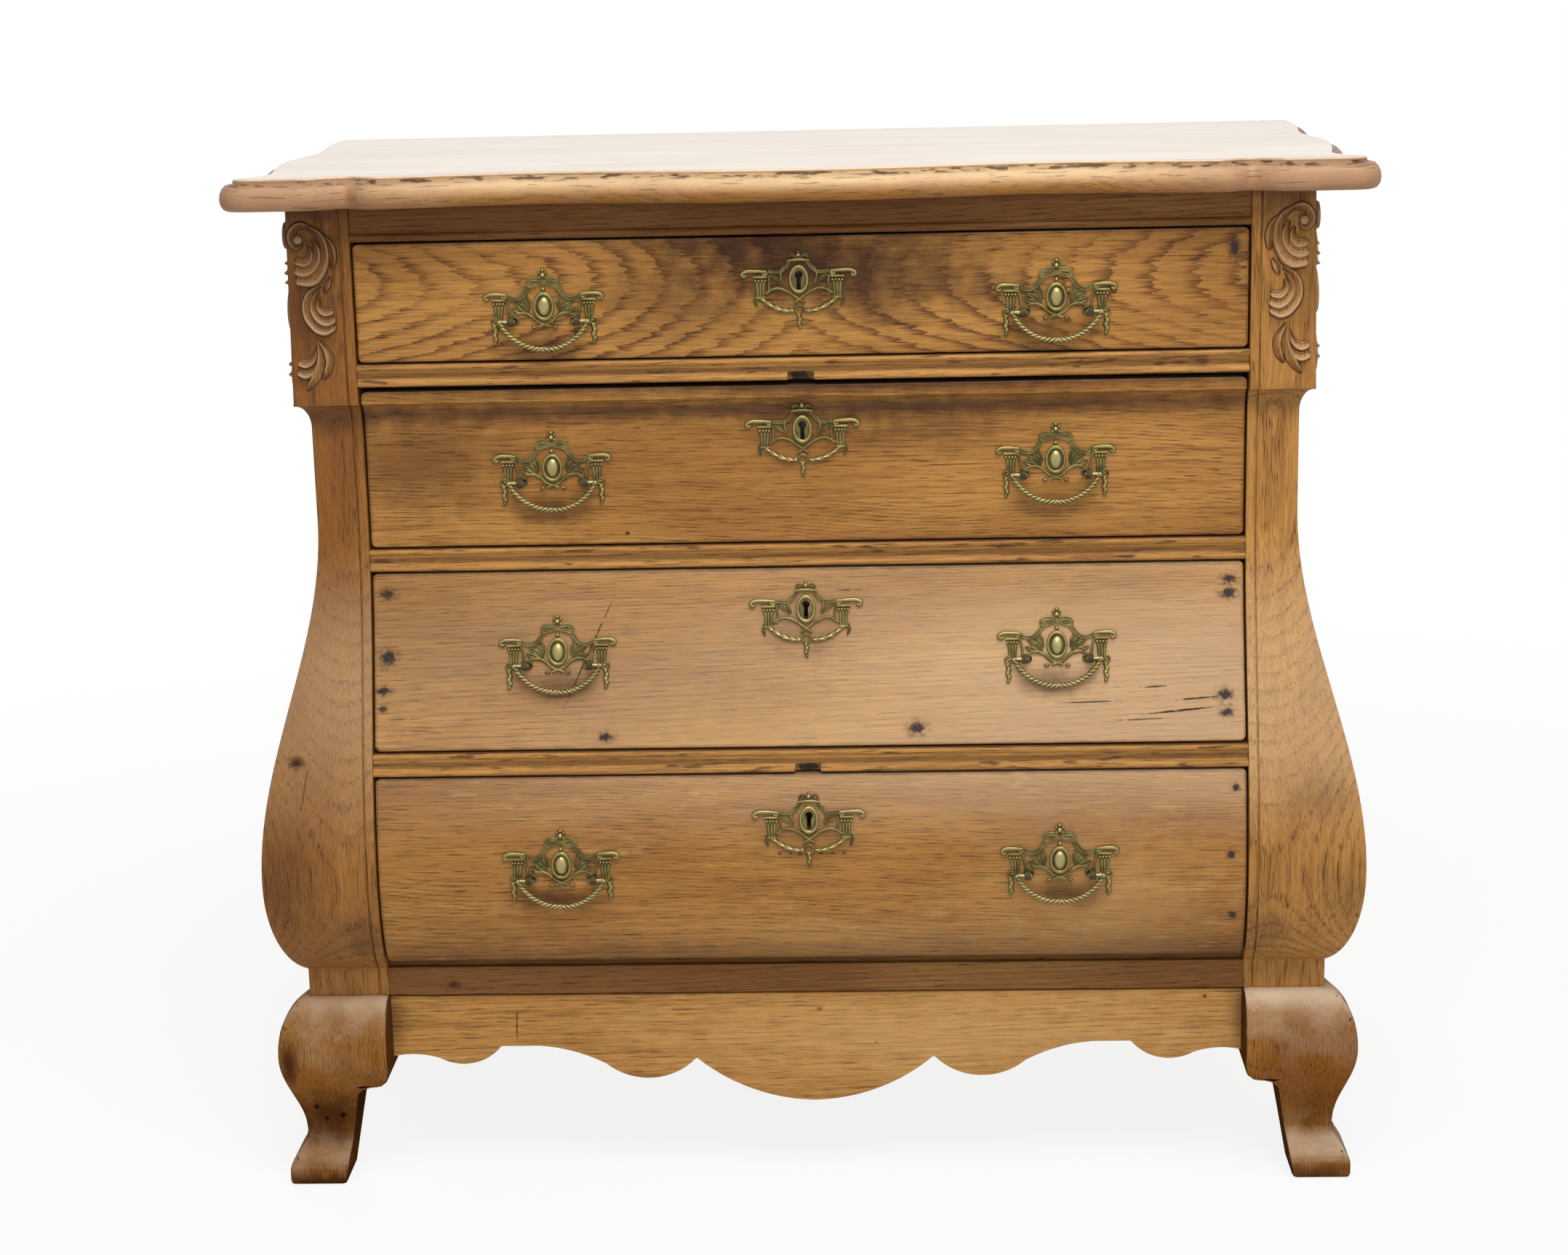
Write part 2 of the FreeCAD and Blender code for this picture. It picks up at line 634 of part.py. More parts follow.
def rounded_prism(half, back, low, high):
    plate = box(-half, half, -OUTSIDE, back, low, high)
    depthwise = [edge for edge in plate.Edges if edge.BoundBox.YLength > OUTSIDE / 2]
    return plate.makeFillet(FRONT_CORNER, depthwise)


def keyhole(depth):
    round_part = Part.makeCylinder(KEYHOLE_RADIUS, depth, V(0, -depth / 2, KEYHOLE_LIFT), V(0, 1, 0))
    half = KEYHOLE_SLOT_WIDTH / 2
    slot_foot = KEYHOLE_LIFT - KEYHOLE_SLOT_LENGTH
    return fused([round_part, box(-half, half, -depth / 2, depth / 2, slot_foot, KEYHOLE_LIFT)])


def keyhole_height(number):
    return OPENINGS[number - 1][0] + KEYHOLE_RISES[number - 1]


def handle_height(number):
    return OPENINGS[number - 1][0] + HANDLE_RISES[number - 1]


def stud_height(number):
    return handle_height(number) - PIVOT_DROP


# The bail curves inwards below its pivot, so the knuckle stops short of it
def knuckle_outer():
    arc_radius = (PIVOT_OFFSET**2 + BAIL_DROP**2) / (2 * BAIL_DROP)
    inner_radius = arc_radius - BAIL_RADIUS
    corner = KNUCKLE_HEIGHT * math.sqrt(0.5)
    return math.sqrt(inner_radius**2 - (arc_radius - BAIL_DROP + corner) ** 2) - KNUCKLE_GAP


def knuckle_inner():
    return knuckle_outer() - KNUCKLE_WIDTH


def stud_offset():
    return (knuckle_outer() + knuckle_inner()) / 2


def stud_places(number):
    height = stud_height(number)
    offsets = (-stud_offset(), stud_offset())
    return [V(side * HANDLE_OFFSET + offset, 0, height) for side in (-1, 1) for offset in offsets]


def lock_space(number):
    back = front_back(number)
    high = drawer_levels(number)[1]
    half = LOCK_WIDTH / 2
    return box(-half, half, back - LOCK_DEPTH, back, high - LOCK_HEIGHT, high)


def drawer_front(number):
    low, high = drawer_levels(number)
    back = front_back(number)
    slab = front_slab(-OUTSIDE, OUTSIDE, POST_DEPTH, DRAWER_SETBACK)
    front = slab.common(rounded_prism(DRAWER_HALF_WIDTH, back, low, high))
    front = front.cut(lock_space(number))
    hole = keyhole(2 * OUTSIDE)
    hole.translate(V(0, 0, keyhole_height(number)))
    front = front.cut(hole)
    for place in stud_places(number):
        start = place - V(0, OUTSIDE, 0)
        front = front.cut(Part.makeCylinder(STUD_RADIUS + STUD_GAP, 2 * OUTSIDE, start, V(0, 1, 0)))
    return front


def drawer_side(number):
    low = OPENINGS[number - 1][0] + RUN_GAP
    high = drawer_levels(number)[1] - SIDE_TOP_DROP
    inner = DRAWER_HALF_WIDTH - SIDE_THICKNESS
    return box(inner, DRAWER_HALF_WIDTH, front_back(number), DRAWER_BACK, low, high)


def drawer_bottom_level(number):
    return OPENINGS[number - 1][0] + RUN_GAP + DRAWER_BOTTOM_RISE


def drawer_bottom(number):
    inner = DRAWER_HALF_WIDTH - SIDE_THICKNESS
    low = drawer_bottom_level(number)
    return box(-inner, inner, front_back(number), DRAWER_BACK, low, low + DRAWER_BOTTOM_THICKNESS)


def drawer_back(number):
    inner = DRAWER_HALF_WIDTH - SIDE_THICKNESS
    low = drawer_bottom_level(number) + DRAWER_BOTTOM_THICKNESS
    high = drawer_levels(number)[1] - DRAWER_BACK_DROP
    return box(-inner, inner, DRAWER_BACK - DRAWER_BACK_THICKNESS, DRAWER_BACK, low, high)


# Locks
def lock_case(number):
    case = lock_space(number)
    high = drawer_levels(number)[1]
    middle = front_back(number) - LOCK_DEPTH / 2
    half = BOLT_WIDTH / 2 + BOLT_GAP
    depth = BOLT_THICKNESS / 2 + BOLT_GAP
    channel = box(-half, half, middle - depth, middle + depth, high - BOLT_ROOM, high)
    hole = keyhole(LOCK_DEPTH)
    hole.translate(V(0, middle - LOCK_DEPTH / 2, keyhole_height(number)))
    return case.cut(channel).cut(hole)


def lock_bolt(number):
    high = drawer_levels(number)[1] - BOLT_SINK
    middle = front_back(number) - LOCK_DEPTH / 2
    half = BOLT_WIDTH / 2
    depth = BOLT_THICKNESS / 2
    return box(-half, half, middle - depth, middle + depth, high - BOLT_LENGTH, high)


# Brass: drawn on the plane y = 0 about the oval's centre, standing out towards -Y
def oval(x, z, half_width, half_height, thickness):
    centre = V(x, 0, z)
    ends = [centre + V(0, 0, half_height), centre + V(half_width, 0, 0)]
    if half_width > half_height:
        ends.reverse()
    line = Part.Ellipse(ends[0], ends[1], centre)
    return Part.Face(Part.Wire(line.toShape())).extrude(V(0, -thickness, 0))


def strip(start, end, width, thickness):
    along = V(end[0] - start[0], 0, end[1] - start[1]).normalize()
    across = V(-along.z, 0, along.x) * (width / 2)
    first = V(start[0], 0, start[1])
    second = V(end[0], 0, end[1])
    outline = Part.makePolygon([first + across, second + across, second - across, first - across, first + across])
    return Part.Face(outline).extrude(V(0, -thickness, 0))


def crest_and_ends(half_width, pilaster, oval_half_width, oval_half_height):
    thin = PLATE_THICKNESS
    pieces = [oval(0, 0, oval_half_width, oval_half_height, OVAL_THICKNESS)]
    pieces.append(oval(0, CREST_RISE, CREST_HALF_WIDTH, CREST_HALF_HEIGHT, CREST_THICKNESS))
    pilaster_foot = -PIVOT_DROP + BAIL_RADIUS
    for side in (-1, 1):
        bend = (side * half_width * RIBBON_BEND_SHARE, RIBBON_BEND_RISE)
        middle = side * pilaster
        capital_start = (side * (pilaster - CAPITAL_INSET), CAPITAL_RISE)
        capital_end = (side * half_width, CAPITAL_RISE)
        spray_start = (middle * SPRAY_START_SHARE, -SPRAY_START_DROP)
        spray_end = (-side * SPRAY_CROSSING, -SPRAY_END_DROP)
        pieces.append(strip((0, CREST_RISE), bend, RIBBON_WIDTH, thin))
        pieces.append(strip(bend, (middle, CAPITAL_RISE), RIBBON_WIDTH, thin))
        pieces.append(strip(capital_start, capital_end, CAPITAL_HEIGHT, CAPITAL_THICKNESS))
        pieces.append(strip((middle, CAPITAL_RISE), (middle, pilaster_foot), PILASTER_WIDTH, PILASTER_THICKNESS))
        pieces.append(strip((middle, -SCROLL_END_DROP), (0, -SCROLL_ROOT_DROP), SCROLL_WIDTH, thin))
        pieces.append(strip(spray_start, spray_end, SPRAY_WIDTH, thin))
    return pieces


def handle_plate():
    pieces = crest_and_ends(PLATE_HALF_WIDTH, PILASTER_OFFSET, OVAL_HALF_WIDTH, OVAL_HALF_HEIGHT)
    tassel = PILASTER_OFFSET + PILASTER_WIDTH / 2 + TASSEL_GAP
    low = -PIVOT_DROP - KNUCKLE_HEIGHT / 2
    reach_out = -PIVOT_STANDOFF - KNUCKLE_HEIGHT / 2
    for side in (-1, 1):
        tassel_start = (side * tassel, -TASSEL_START_DROP)
        pieces.append(strip(tassel_start, (side * tassel, -TASSEL_DROP), TASSEL_WIDTH, PLATE_THICKNESS))
        near, far = sorted((side * knuckle_inner(), side * knuckle_outer()))
        pieces.append(box(near, far, reach_out, 0, low, low + KNUCKLE_HEIGHT))
    plate = fused(pieces)
    bore_start = V(-PIVOT_OFFSET, -PIVOT_STANDOFF, -PIVOT_DROP)
    bore = Part.makeCylinder(PIN_RADIUS + PIN_GAP, 2 * PIVOT_OFFSET, bore_start, V(1, 0, 0))
    return plate.cut(bore)


def bail():
    end = V(PIVOT_OFFSET, -PIVOT_STANDOFF, -PIVOT_DROP)
    start = V(-end.x, end.y, end.z)
    foot = V(0, end.y, end.z - BAIL_DROP)
    path = Part.Wire(Part.Arc(start, foot, end).toShape())
    ahead = path.Edges[0].tangentAt(path.Edges[0].FirstParameter)
    section = Part.Wire(Part.makeCircle(BAIL_RADIUS, start, ahead))
    pieces = [path.makePipeShell([section], True, False)]
    pin_length = PIVOT_OFFSET - knuckle_inner() + PIN_OVERHANG
    for side, place in ((-1, start), (1, end)):
        pieces.append(Part.makeSphere(BAIL_RADIUS, place))
        pieces.append(Part.makeCylinder(PIN_RADIUS, pin_length, place, V(-side, 0, 0)))
    return fused(pieces)


# A bail hangs plumb unless the drawer's face stops it first
def bail_hang(height):
    stop = math.degrees(math.asin((PIVOT_STANDOFF - BAIL_RADIUS - BAIL_REST_GAP) / BAIL_DROP))
    return min(lean(height), stop)


def hanging_bail(height):
    hung = bail()
    hung.rotate(V(0, -PIVOT_STANDOFF, -PIVOT_DROP), V(1, 0, 0), bail_hang(height))
    return hung


def key_plate():
    pieces = crest_and_ends(
        KEY_PLATE_HALF_WIDTH, KEY_PILASTER_OFFSET, KEY_OVAL_HALF_WIDTH, KEY_OVAL_HALF_HEIGHT
    )
    for side in (-1, 1):
        swag_start = (side * KEY_PILASTER_OFFSET, -SWAG_START_DROP)
        swag_bend = (swag_start[0] * SWAG_BEND_SHARE, -SWAG_BEND_DROP)
        pieces.append(strip(swag_start, swag_bend, SWAG_WIDTH, SWAG_THICKNESS))
        pieces.append(strip(swag_bend, (0, -SWAG_DROP), SWAG_WIDTH, SWAG_THICKNESS))
    pieces.append(strip((0, -TONGUE_START_DROP), (0, -TONGUE_DROP), TONGUE_WIDTH, TONGUE_THICKNESS))
    pieces.append(strip((0, -STEM_START_DROP), (0, -SWAG_DROP), STEM_WIDTH, PLATE_THICKNESS))
    return fused(pieces).cut(keyhole(4 * LOCK_DEPTH))


def on_front(shape, x, height):
    placed = shape.copy()
    placed.rotate(V(0, 0, 0), V(1, 0, 0), -lean(height))
    placed.translate(V(x, front_face(height), height))
    return placed


def stud_and_nut(number, place):
    back = front_back(number)
    face = front_face(place.z) - STUD_ROOT
    stud = Part.makeCylinder(STUD_RADIUS, back + STUD_END - face, V(place.x, face, place.z), V(0, 1, 0))
    half = NUT_SIZE / 2
    nut = box(place.x - half, place.x + half, back, back + NUT_THICKNESS, place.z - half, place.z + half)
    bore = Part.makeCylinder(STUD_RADIUS + STUD_GAP, NUT_THICKNESS, V(place.x, back, place.z), V(0, 1, 0))
    return stud, nut.cut(bore)


# Brass lies on the drawer's curved face, so its back is scribed to that face
def scribed(shape, x, height):
    face = front_slab(-OUTSIDE, OUTSIDE, POST_DEPTH, DRAWER_SETBACK - PLATE_GAP)
    return on_front(shape, x, height).cut(face)


def handle_plates(number):
    solids = []
    places = stud_places(number)
    for side, pair in ((-1, places[:2]), (1, places[2:])):
        plate = scribed(handle_plate(), side * HANDLE_OFFSET, handle_height(number))
        fittings = [stud_and_nut(number, place) for place in pair]
        solids.append(fused([plate] + [stud for stud, nut in fittings]))
        solids += [nut for stud, nut in fittings]
    return solids


# The whole chest, node by node
def all_nodes():
    nodes = {}
    nodes["top_front_board"], nodes["top_rear_board"] = top_boards()
    sided = {"front_SIDE_post": front_post(), "rear_SIDE_post": rear_post(), "front_SIDE_foot": front_foot()}
    sided["SIDE_side_panel"] = side_slab(POST_DEPTH, REAR_POST_FACE, False)
    for name, shape in sided.items():
        nodes[name.replace("SIDE", "right")] = shape
        nodes[name.replace("SIDE", "left")] = mirrored(shape)
    nodes["top_rail"] = top_rail()
    for number in (1, 2, 3):
        nodes[f"drawer_rail_{number}"] = drawer_rail(number)
    nodes["base_rail"] = base_rail()
    nodes["front_apron"] = front_apron()
    nodes["bottom_board"] = bottom_board()
    nodes["back_boards"] = Part.makeCompound(back_boards())
    nodes["drawer_runners"] = Part.makeCompound(drawer_runners())
    nodes["top_kickers"] = Part.makeCompound(top_kickers())
    for number in (1, 2, 3, 4):
        side = drawer_side(number)
        nodes[f"drawer_{number}_front"] = drawer_front(number)
        nodes[f"drawer_{number}_sides"] = Part.makeCompound([side, mirrored(side)])
        nodes[f"drawer_{number}_back"] = drawer_back(number)
        nodes[f"drawer_{number}_bottom"] = drawer_bottom(number)
        nodes[f"drawer_{number}_lock_case"] = lock_case(number)
        nodes[f"drawer_{number}_lock_bolt"] = lock_bolt(number)
        nodes[f"drawer_{number}_escutcheon"] = scribed(key_plate(), 0, keyhole_height(number))
        nodes[f"drawer_{number}_handle_plates"] = Part.makeCompound(handle_plates(number))
        for side_name, side_sign in (("left", -1), ("right", 1)):
            height = handle_height(number)
            placed = on_front(hanging_bail(height), side_sign * HANDLE_OFFSET, height)
            nodes[f"drawer_{number}_{side_name}_bail"] = placed
    return nodes


def main():
    nodes = all_nodes()
    whole = Part.makeCompound(list(nodes.values())).optimalBoundingBox(False)
    to_origin = V(0, -(whole.YMin + whole.YMax) / 2, 0)
    for name, shape in nodes.items():
        shape.translate(to_origin)
        shape.exportStep(f"parts/{name}.step")
        print(f"{name}: {len(shape.Solids)} solids, {shape.Volume / 1000:.1f} cm3, valid {shape.isValid()}")
    print(f"overall {whole.XLength:.1f} x {whole.YLength:.1f} x {whole.ZLength:.1f} mm")
    print(f"block face at y {to_origin.y:.3f} mm")
    for number in (1, 2, 3, 4):
        height = handle_height(number)
        pivot = V(0, -PIVOT_STANDOFF, -PIVOT_DROP)
        pivot = FreeCAD.Rotation(V(1, 0, 0), -lean(height)).multVec(pivot)
        pivot = pivot + V(0, front_face(height) + to_origin.y, height)
        print(f"drawer {number}: levels {drawer_levels(number)}, back of front {front_back(number) + to_origin.y:.3f},")
        print(f"  handle height {height}, lean {lean(height):.2f}, bail pivot y {pivot.y:.3f} z {pivot.z:.3f}")


os.makedirs("parts", exist_ok=True)
main()
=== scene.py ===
import json
import math

import bpy
from bpy.props import FloatProperty, FloatVectorProperty, PointerProperty
from mathutils import Matrix, Vector


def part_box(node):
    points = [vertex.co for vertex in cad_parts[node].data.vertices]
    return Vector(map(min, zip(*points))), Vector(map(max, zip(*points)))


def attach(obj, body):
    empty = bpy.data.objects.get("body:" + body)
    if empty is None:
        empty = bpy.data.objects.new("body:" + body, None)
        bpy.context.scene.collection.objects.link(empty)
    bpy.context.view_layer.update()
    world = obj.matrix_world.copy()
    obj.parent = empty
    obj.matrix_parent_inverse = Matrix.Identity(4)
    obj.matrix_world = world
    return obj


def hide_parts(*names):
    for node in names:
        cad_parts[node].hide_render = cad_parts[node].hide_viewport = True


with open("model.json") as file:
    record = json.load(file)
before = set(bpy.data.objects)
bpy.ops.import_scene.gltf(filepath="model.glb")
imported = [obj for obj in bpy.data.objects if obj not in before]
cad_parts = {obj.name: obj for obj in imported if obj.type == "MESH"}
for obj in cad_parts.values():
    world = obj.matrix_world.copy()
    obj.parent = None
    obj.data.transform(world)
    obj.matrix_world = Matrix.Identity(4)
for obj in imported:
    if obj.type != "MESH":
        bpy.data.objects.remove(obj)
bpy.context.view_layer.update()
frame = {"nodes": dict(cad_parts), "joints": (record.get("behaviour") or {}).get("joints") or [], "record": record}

bl_info = {
    "name": "Kettle-base chest of drawers",
    "version": (1, 0, 0),
    "blender": (4, 5, 0),
    "location": "3D View > Sidebar > Chest",
    "description": "Dresses the chest's frame in worn oak, carving, cast brass and iron",
    "category": "Object",
}

MM = 0.001
DRAWERS = (1, 2, 3, 4)
SIDES = (("left", -1), ("right", 1))

# Places taken from the frame, metres
TOP_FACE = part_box("top_front_board")[1].z
TOP_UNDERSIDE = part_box("top_rail")[1].z
DRAWER_SETBACK = 3 * MM
BLOCK_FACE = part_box("drawer_1_front")[0].y - DRAWER_SETBACK
BODIES = frame["record"]["behaviour"]["bodies"]
NODE_BODY = {node: body for body, nodes in BODIES.items() for node in nodes}
JOINTS = {joint["name"]: joint for joint in frame["joints"]}

# Swelling line of the front, metres: how far it stands out from the carved blocks at each level
BLOCK_FOOT = 702 * MM
COVE_HEIGHT = 20 * MM
SHOULDER = 600 * MM
BELLY = 285 * MM
UNDER = 195 * MM
WAIST_REACH = -12 * MM
BELLY_REACH = 45 * MM
UNDER_REACH = 5 * MM

# Carved blocks, metres
BLOCK_HALF_WIDTH = 436 * MM
BLOCK_HEIGHT = TOP_UNDERSIDE - BLOCK_FOOT
BLOCK_TOP_SETBACK = 3 * MM

# Necks over the feet, metres, and how a foot's shoulder draws in behind its neck
NECK_REACH = 15.5 * MM
ANKLE = 60 * MM
SHOULDER_FADE = 40 * MM
SHOULDER_CUTS = 6
SHOULDER_DRAW = 0.7

# Sunk line beside the posts' beads, from the chest's middle, metres
QUIRK = (386.9 * MM, 389.1 * MM)

# Boards of the back: how many, the gap between two, and how far in the nails are, metres
BACK_BOARDS = 5
BACK_JOINT = 0.8 * MM
NAIL_INSET = 16 * MM
NAIL_SPREAD = 0.3

# Handles and key plates, metres
HANDLE_OFFSET = 217 * MM
HANDLE_HEIGHTS = (784 * MM, 643 * MM, 483 * MM, 301 * MM)
KEY_HEIGHTS = (803 * MM, 673 * MM, 516.5 * MM, 338.5 * MM)
PIVOT_OFFSET = 37.5 * MM
BAIL_DROP = 24 * MM
BAIL_STANDOFF = 4.5 * MM
BAIL_STOP = math.asin(BAIL_STANDOFF / BAIL_DROP)
STUD_OFFSET = 28.08 * MM
STUD_RADIUS = 2.4 * MM
STUD_END = 8 * MM
NUT_SIZE = 9 * MM
NUT_THICKNESS = 4 * MM

# Knuckles and ropes of the bails, millimetres, and the steps that half a bail is swept in
KNUCKLE_STANDOFF = 8.0
KNUCKLE_RADIUS = 3.9
KNUCKLE_WIDTH = 5.6
STEM_FOOT = 3.2
STEM_HEAD = 2.3
ROPE_RADIUS = 2.5
ROPE_TWIST = 3.1
PIN_RADIUS = 1.55
PIN_END = 24.8
BAIL_STEPS = 8

# Relief of the brass, as shares of its height: what rises over the limit is a knuckle and counts as low
RELIEF_LIMIT = 1.45
KNUCKLE_RELIEF = 0.3

# Round a stud or a keyhole, the edges of the boards stay sharp as far as this, metres
STUD_CLEARANCE = 12 * MM
KEYHOLE_CLEARANCE = 20 * MM

# Screws of the locks, metres
SCREW_RADIUS = 3 * MM
SCREW_HEAD = 1.2 * MM
SCREW_INSET = 7 * MM
SCREW_DROP = 10 * MM
SCREW_PROUD = 0.4 * MM
SCREW_SLOT = (8 * MM, 1 * MM, 0.8 * MM)
SCREW_SLOT_DEPTH = 0.5 * MM

# Keyholes, metres: a round eye over an upright slot
KEYHOLE_EYE = 3.4 * MM
KEYHOLE_EYE_RISE = 3.8 * MM
KEYHOLE_SLOT = (3.6 * MM, 14 * MM, 20 * MM)
KEYHOLE_SLOT_DROP = 3.2 * MM

# Turns that lay an upright cylinder along an axis
ALONG_X = (0, -math.pi / 2, 0)
ALONG_Y = (math.pi / 2, 0, 0)

# How the meshes are cleaned and worn
MERGE_DISTANCE = 0.01 * MM
FLAT_ANGLE = math.radians(0.4)
SHARP_DEGREES = 38
SOFT_ANGLE = math.radians(40)
IRON_EDGE = 0.5 * MM
TOP_EDGE = 0.7 * MM


def paint(red, green, blue):
    shades = []
    for level in (red, green, blue):
        share = level / 255
        shades.append(share / 12.92 if share <= 0.04045 else ((share + 0.055) / 1.055) ** 2.4)
    return tuple(shades)


def colour_setting(name, description, red, green, blue):
    shades = paint(red, green, blue)
    return FloatVectorProperty(
        name=name, description=description, subtype="COLOR", min=0.0, max=1.0, default=shades
    )


def length_setting(name, description, millimetres):
    return FloatProperty(
        name=name, description=description, unit="LENGTH", min=0.0, default=millimetres * MM
    )


def share_setting(name, description, share):
    return FloatProperty(
        name=name, description=description, subtype="FACTOR", min=0.0, max=1.0, default=share
    )


def power_setting(name, description, watts):
    return FloatProperty(name=name, description=description, subtype="POWER", default=watts)


class OakFinish(bpy.types.PropertyGroup):
    honey: colour_setting("Honey", "Open wood between the growth lines", 182, 132, 68)
    deep: colour_setting("Deep honey", "Open wood where it has darkened", 134, 86, 38)
    grain: colour_setting("Growth line", "Dark open-pored start of each growth ring", 82, 46, 20)
    pore: colour_setting("Pore", "Short dark pores along the grain", 54, 31, 15)
    # This pale colour of the rays' flecks is also painted on as pale marks, as painted sheen on drawer 3, and as a
    # painted highlight on the top half of the top's nose
    ray_fleck_and_sheen: colour_setting("Ray", "Pale silky flecks of the rays", 206, 166, 108)
    # This dark colour is patina, and is also painted on as shade: in drawer 2's cove, along drawer 4's bottom, on
    # the blocks, the frieze, the base rail, the rails' quirks and edges, the carving's hollows and the feet's
    # inner sides
    patina_and_shade: colour_setting("Patina", "Wood darkened by hands and polish", 52, 25, 12)
    dirt: colour_setting("Dirt", "Old polish and dust in corners and cracks", 22, 13, 8)
    iron_stain: colour_setting("Iron stain", "Blue-black stain round old nails", 36, 33, 36)
    # This pale colour is partly sun bleaching of the top and partly painted light: a painted reflection on the
    # flat of the top and painted sheen on the feet's up-facing faces
    bleached_and_sheen: colour_setting("Bleached oak", "Sun-bleached wood of the top", 234, 218, 194)
    # Painted sheen: this pale colour stands in for light falling on what faces upwards
    painted_sheen: colour_setting("Bloom", "Pale bloom on what faces upwards", 224, 196, 162)
    scuffed: colour_setting("Scuffed oak", "Rubbed places along the top's edge", 172, 134, 106)
    raw: colour_setting("Raw oak", "Unpolished wood of the inside", 150, 116, 76)
    wax: share_setting("Wax roughness", "How dull the waxed oak is", 0.44)
    gloss: share_setting("Wax gloss", "How strongly the wax mirrors light", 0.22)
    polish: share_setting("Polish roughness", "How dull the polish on the top is", 0.2)
    edge: length_setting("Worn edge", "Rounding of the worn edges", 1.3)


class BrassFinish(bpy.types.PropertyGroup):
    cast: colour_setting("Cast brass", "Open faces of the old brass", 144, 129, 74)
    tarnish: colour_setting("Tarnish", "Olive tarnish on the brass", 108, 95, 48)
    hollow: colour_setting("Hollows", "Dark hollows of the casting", 30, 22, 10)
    worn: colour_setting("Worn brass", "Rubbed high places", 182, 171, 120)
    dull: share_setting("Roughness", "How dull the brass is", 0.42)


class IronFinish(bpy.types.PropertyGroup):
    bare: colour_setting("Iron", "Bare old iron", 92, 88, 84)
    rust: colour_setting("Rust", "Brown rust on the iron", 96, 62, 42)


class CarvingSizes(bpy.types.PropertyGroup):
    sink: length_setting("Sink", "How far the leaves run into the block", 0.8)


class StageSettings(bpy.types.PropertyGroup):
    floor: colour_setting("Floor", "Pale floor", 240, 238, 235)
    key: power_setting("Key light", "Power of the soft light above", 70.0)
    fill: power_setting("Fill light", "Power of the soft front light", 28.0)
    back: power_setting("Back light", "Power of the light behind", 55.0)
    ambient: FloatProperty(name="Ambient", description="Strength of the light from all round", default=0.15)
    lens: FloatProperty(name="Lens", description="Focal length", unit="CAMERA", default=64.44)


class ChestSettings(bpy.types.PropertyGroup):
    oak: PointerProperty(type=OakFinish)
    brass: PointerProperty(type=BrassFinish)
    iron: PointerProperty(type=IronFinish)
    carving: PointerProperty(type=CarvingSizes)
    stage: PointerProperty(type=StageSettings)


# Shader expressions
def math_method(operation, reflected=False):
    """Gives the class below one of Python's operators, in its plain or its reflected form."""

    def method(self, other):
        first, second = (other, self) if reflected else (self, other)
        return self.graph.maths(operation, first, second)

    return method


class Value:
    """One shader socket, so that sums on it are written as plain expressions."""

    def __init__(self, graph, socket):
        self.graph = graph
        self.socket = socket

    __add__ = math_method("ADD")
    __radd__ = math_method("ADD", True)
    __sub__ = math_method("SUBTRACT")
    __rsub__ = math_method("SUBTRACT", True)
    __mul__ = math_method("MULTIPLY")
    __rmul__ = math_method("MULTIPLY", True)
    __truediv__ = math_method("DIVIDE")
    __rtruediv__ = math_method("DIVIDE", True)


class Graph:
    """The nodes of one material or of the world, added by plain calls."""

    def __init__(self, tree):
        self.nodes = tree.nodes
        self.links = tree.links
        self.nodes.clear()

    def add(self, kind, settings=None, sockets=None, output=0):
        node = self.nodes.new(kind)
        for name, setting in (settings or {}).items():
            setattr(node, name, setting)
        for key, value in (sockets or {}).items():
            self.feed(node.inputs[key], value)
        return Value(self, node.outputs[output]) if node.outputs else None

    def feed(self, socket, value):
        if isinstance(value, Value):
            self.links.new(value.socket, socket)
        elif socket.type == "RGBA":
            socket.default_value = (*value[:3], 1.0)
        else:
            socket.default_value = value

    def maths(self, operation, first, second=0.0, clamp=False):
        return self.add("ShaderNodeMath", {"operation": operation, "use_clamp": clamp}, {0: first, 1: second})

    def clamp(self, value):
        return self.maths("ADD", value, 0.0, clamp=True)

    def vector(self, operation, first, second=(0, 0, 0), output=0):
        return self.add("ShaderNodeVectorMath", {"operation": operation}, {0: first, 1: second}, output)

    def split(self, vector):
        node = self.nodes.new("ShaderNodeSeparateXYZ")
        self.feed(node.inputs[0], vector)
        return [Value(self, socket) for socket in node.outputs]

    def join(self, x, y, z):
        return self.add("ShaderNodeCombineXYZ", {}, {0: x, 1: y, 2: z})

    def mix(self, share, first, second):
        return self.add("ShaderNodeMix", {"data_type": "RGBA"}, {0: share, 6: first, 7: second}, 2)

    def noise(self, vector, stretch, detail=2.0):
        stretched = self.vector("MULTIPLY", vector, stretch)
        return self.add("ShaderNodeTexNoise", {}, {"Vector": stretched, "Scale": 1.0, "Detail": detail})

    def smooth(self, value, low, high):
        limits = {"Value": value, "From Min": low, "From Max": high}
        return self.add("ShaderNodeMapRange", {"interpolation_type": "SMOOTHSTEP"}, limits)

    def patches(self, vector, stretch, detail, low, high):
        """Noise sharpened into patches that start at the low level and are whole at the high one."""
        return self.smooth(self.noise(vector, stretch, detail), low, high)

    def object_place(self):
        return self.add("ShaderNodeTexCoord", output="Object")

    def relief(self):
        return self.add("ShaderNodeAttribute", {"attribute_name": "relief"}, output="Fac")

    def bump(self, height, strength, distance):
        return self.add("ShaderNodeBump", {}, {"Strength": strength, "Distance": distance, "Height": height})

    def surface(self, sockets):
        shader = self.add("ShaderNodeBsdfPrincipled", {}, sockets)
        self.add("ShaderNodeOutputMaterial", {}, {"Surface": shader})


def new_material(name):
    material = bpy.data.materials.new(name)
    material.use_nodes = True
    return material


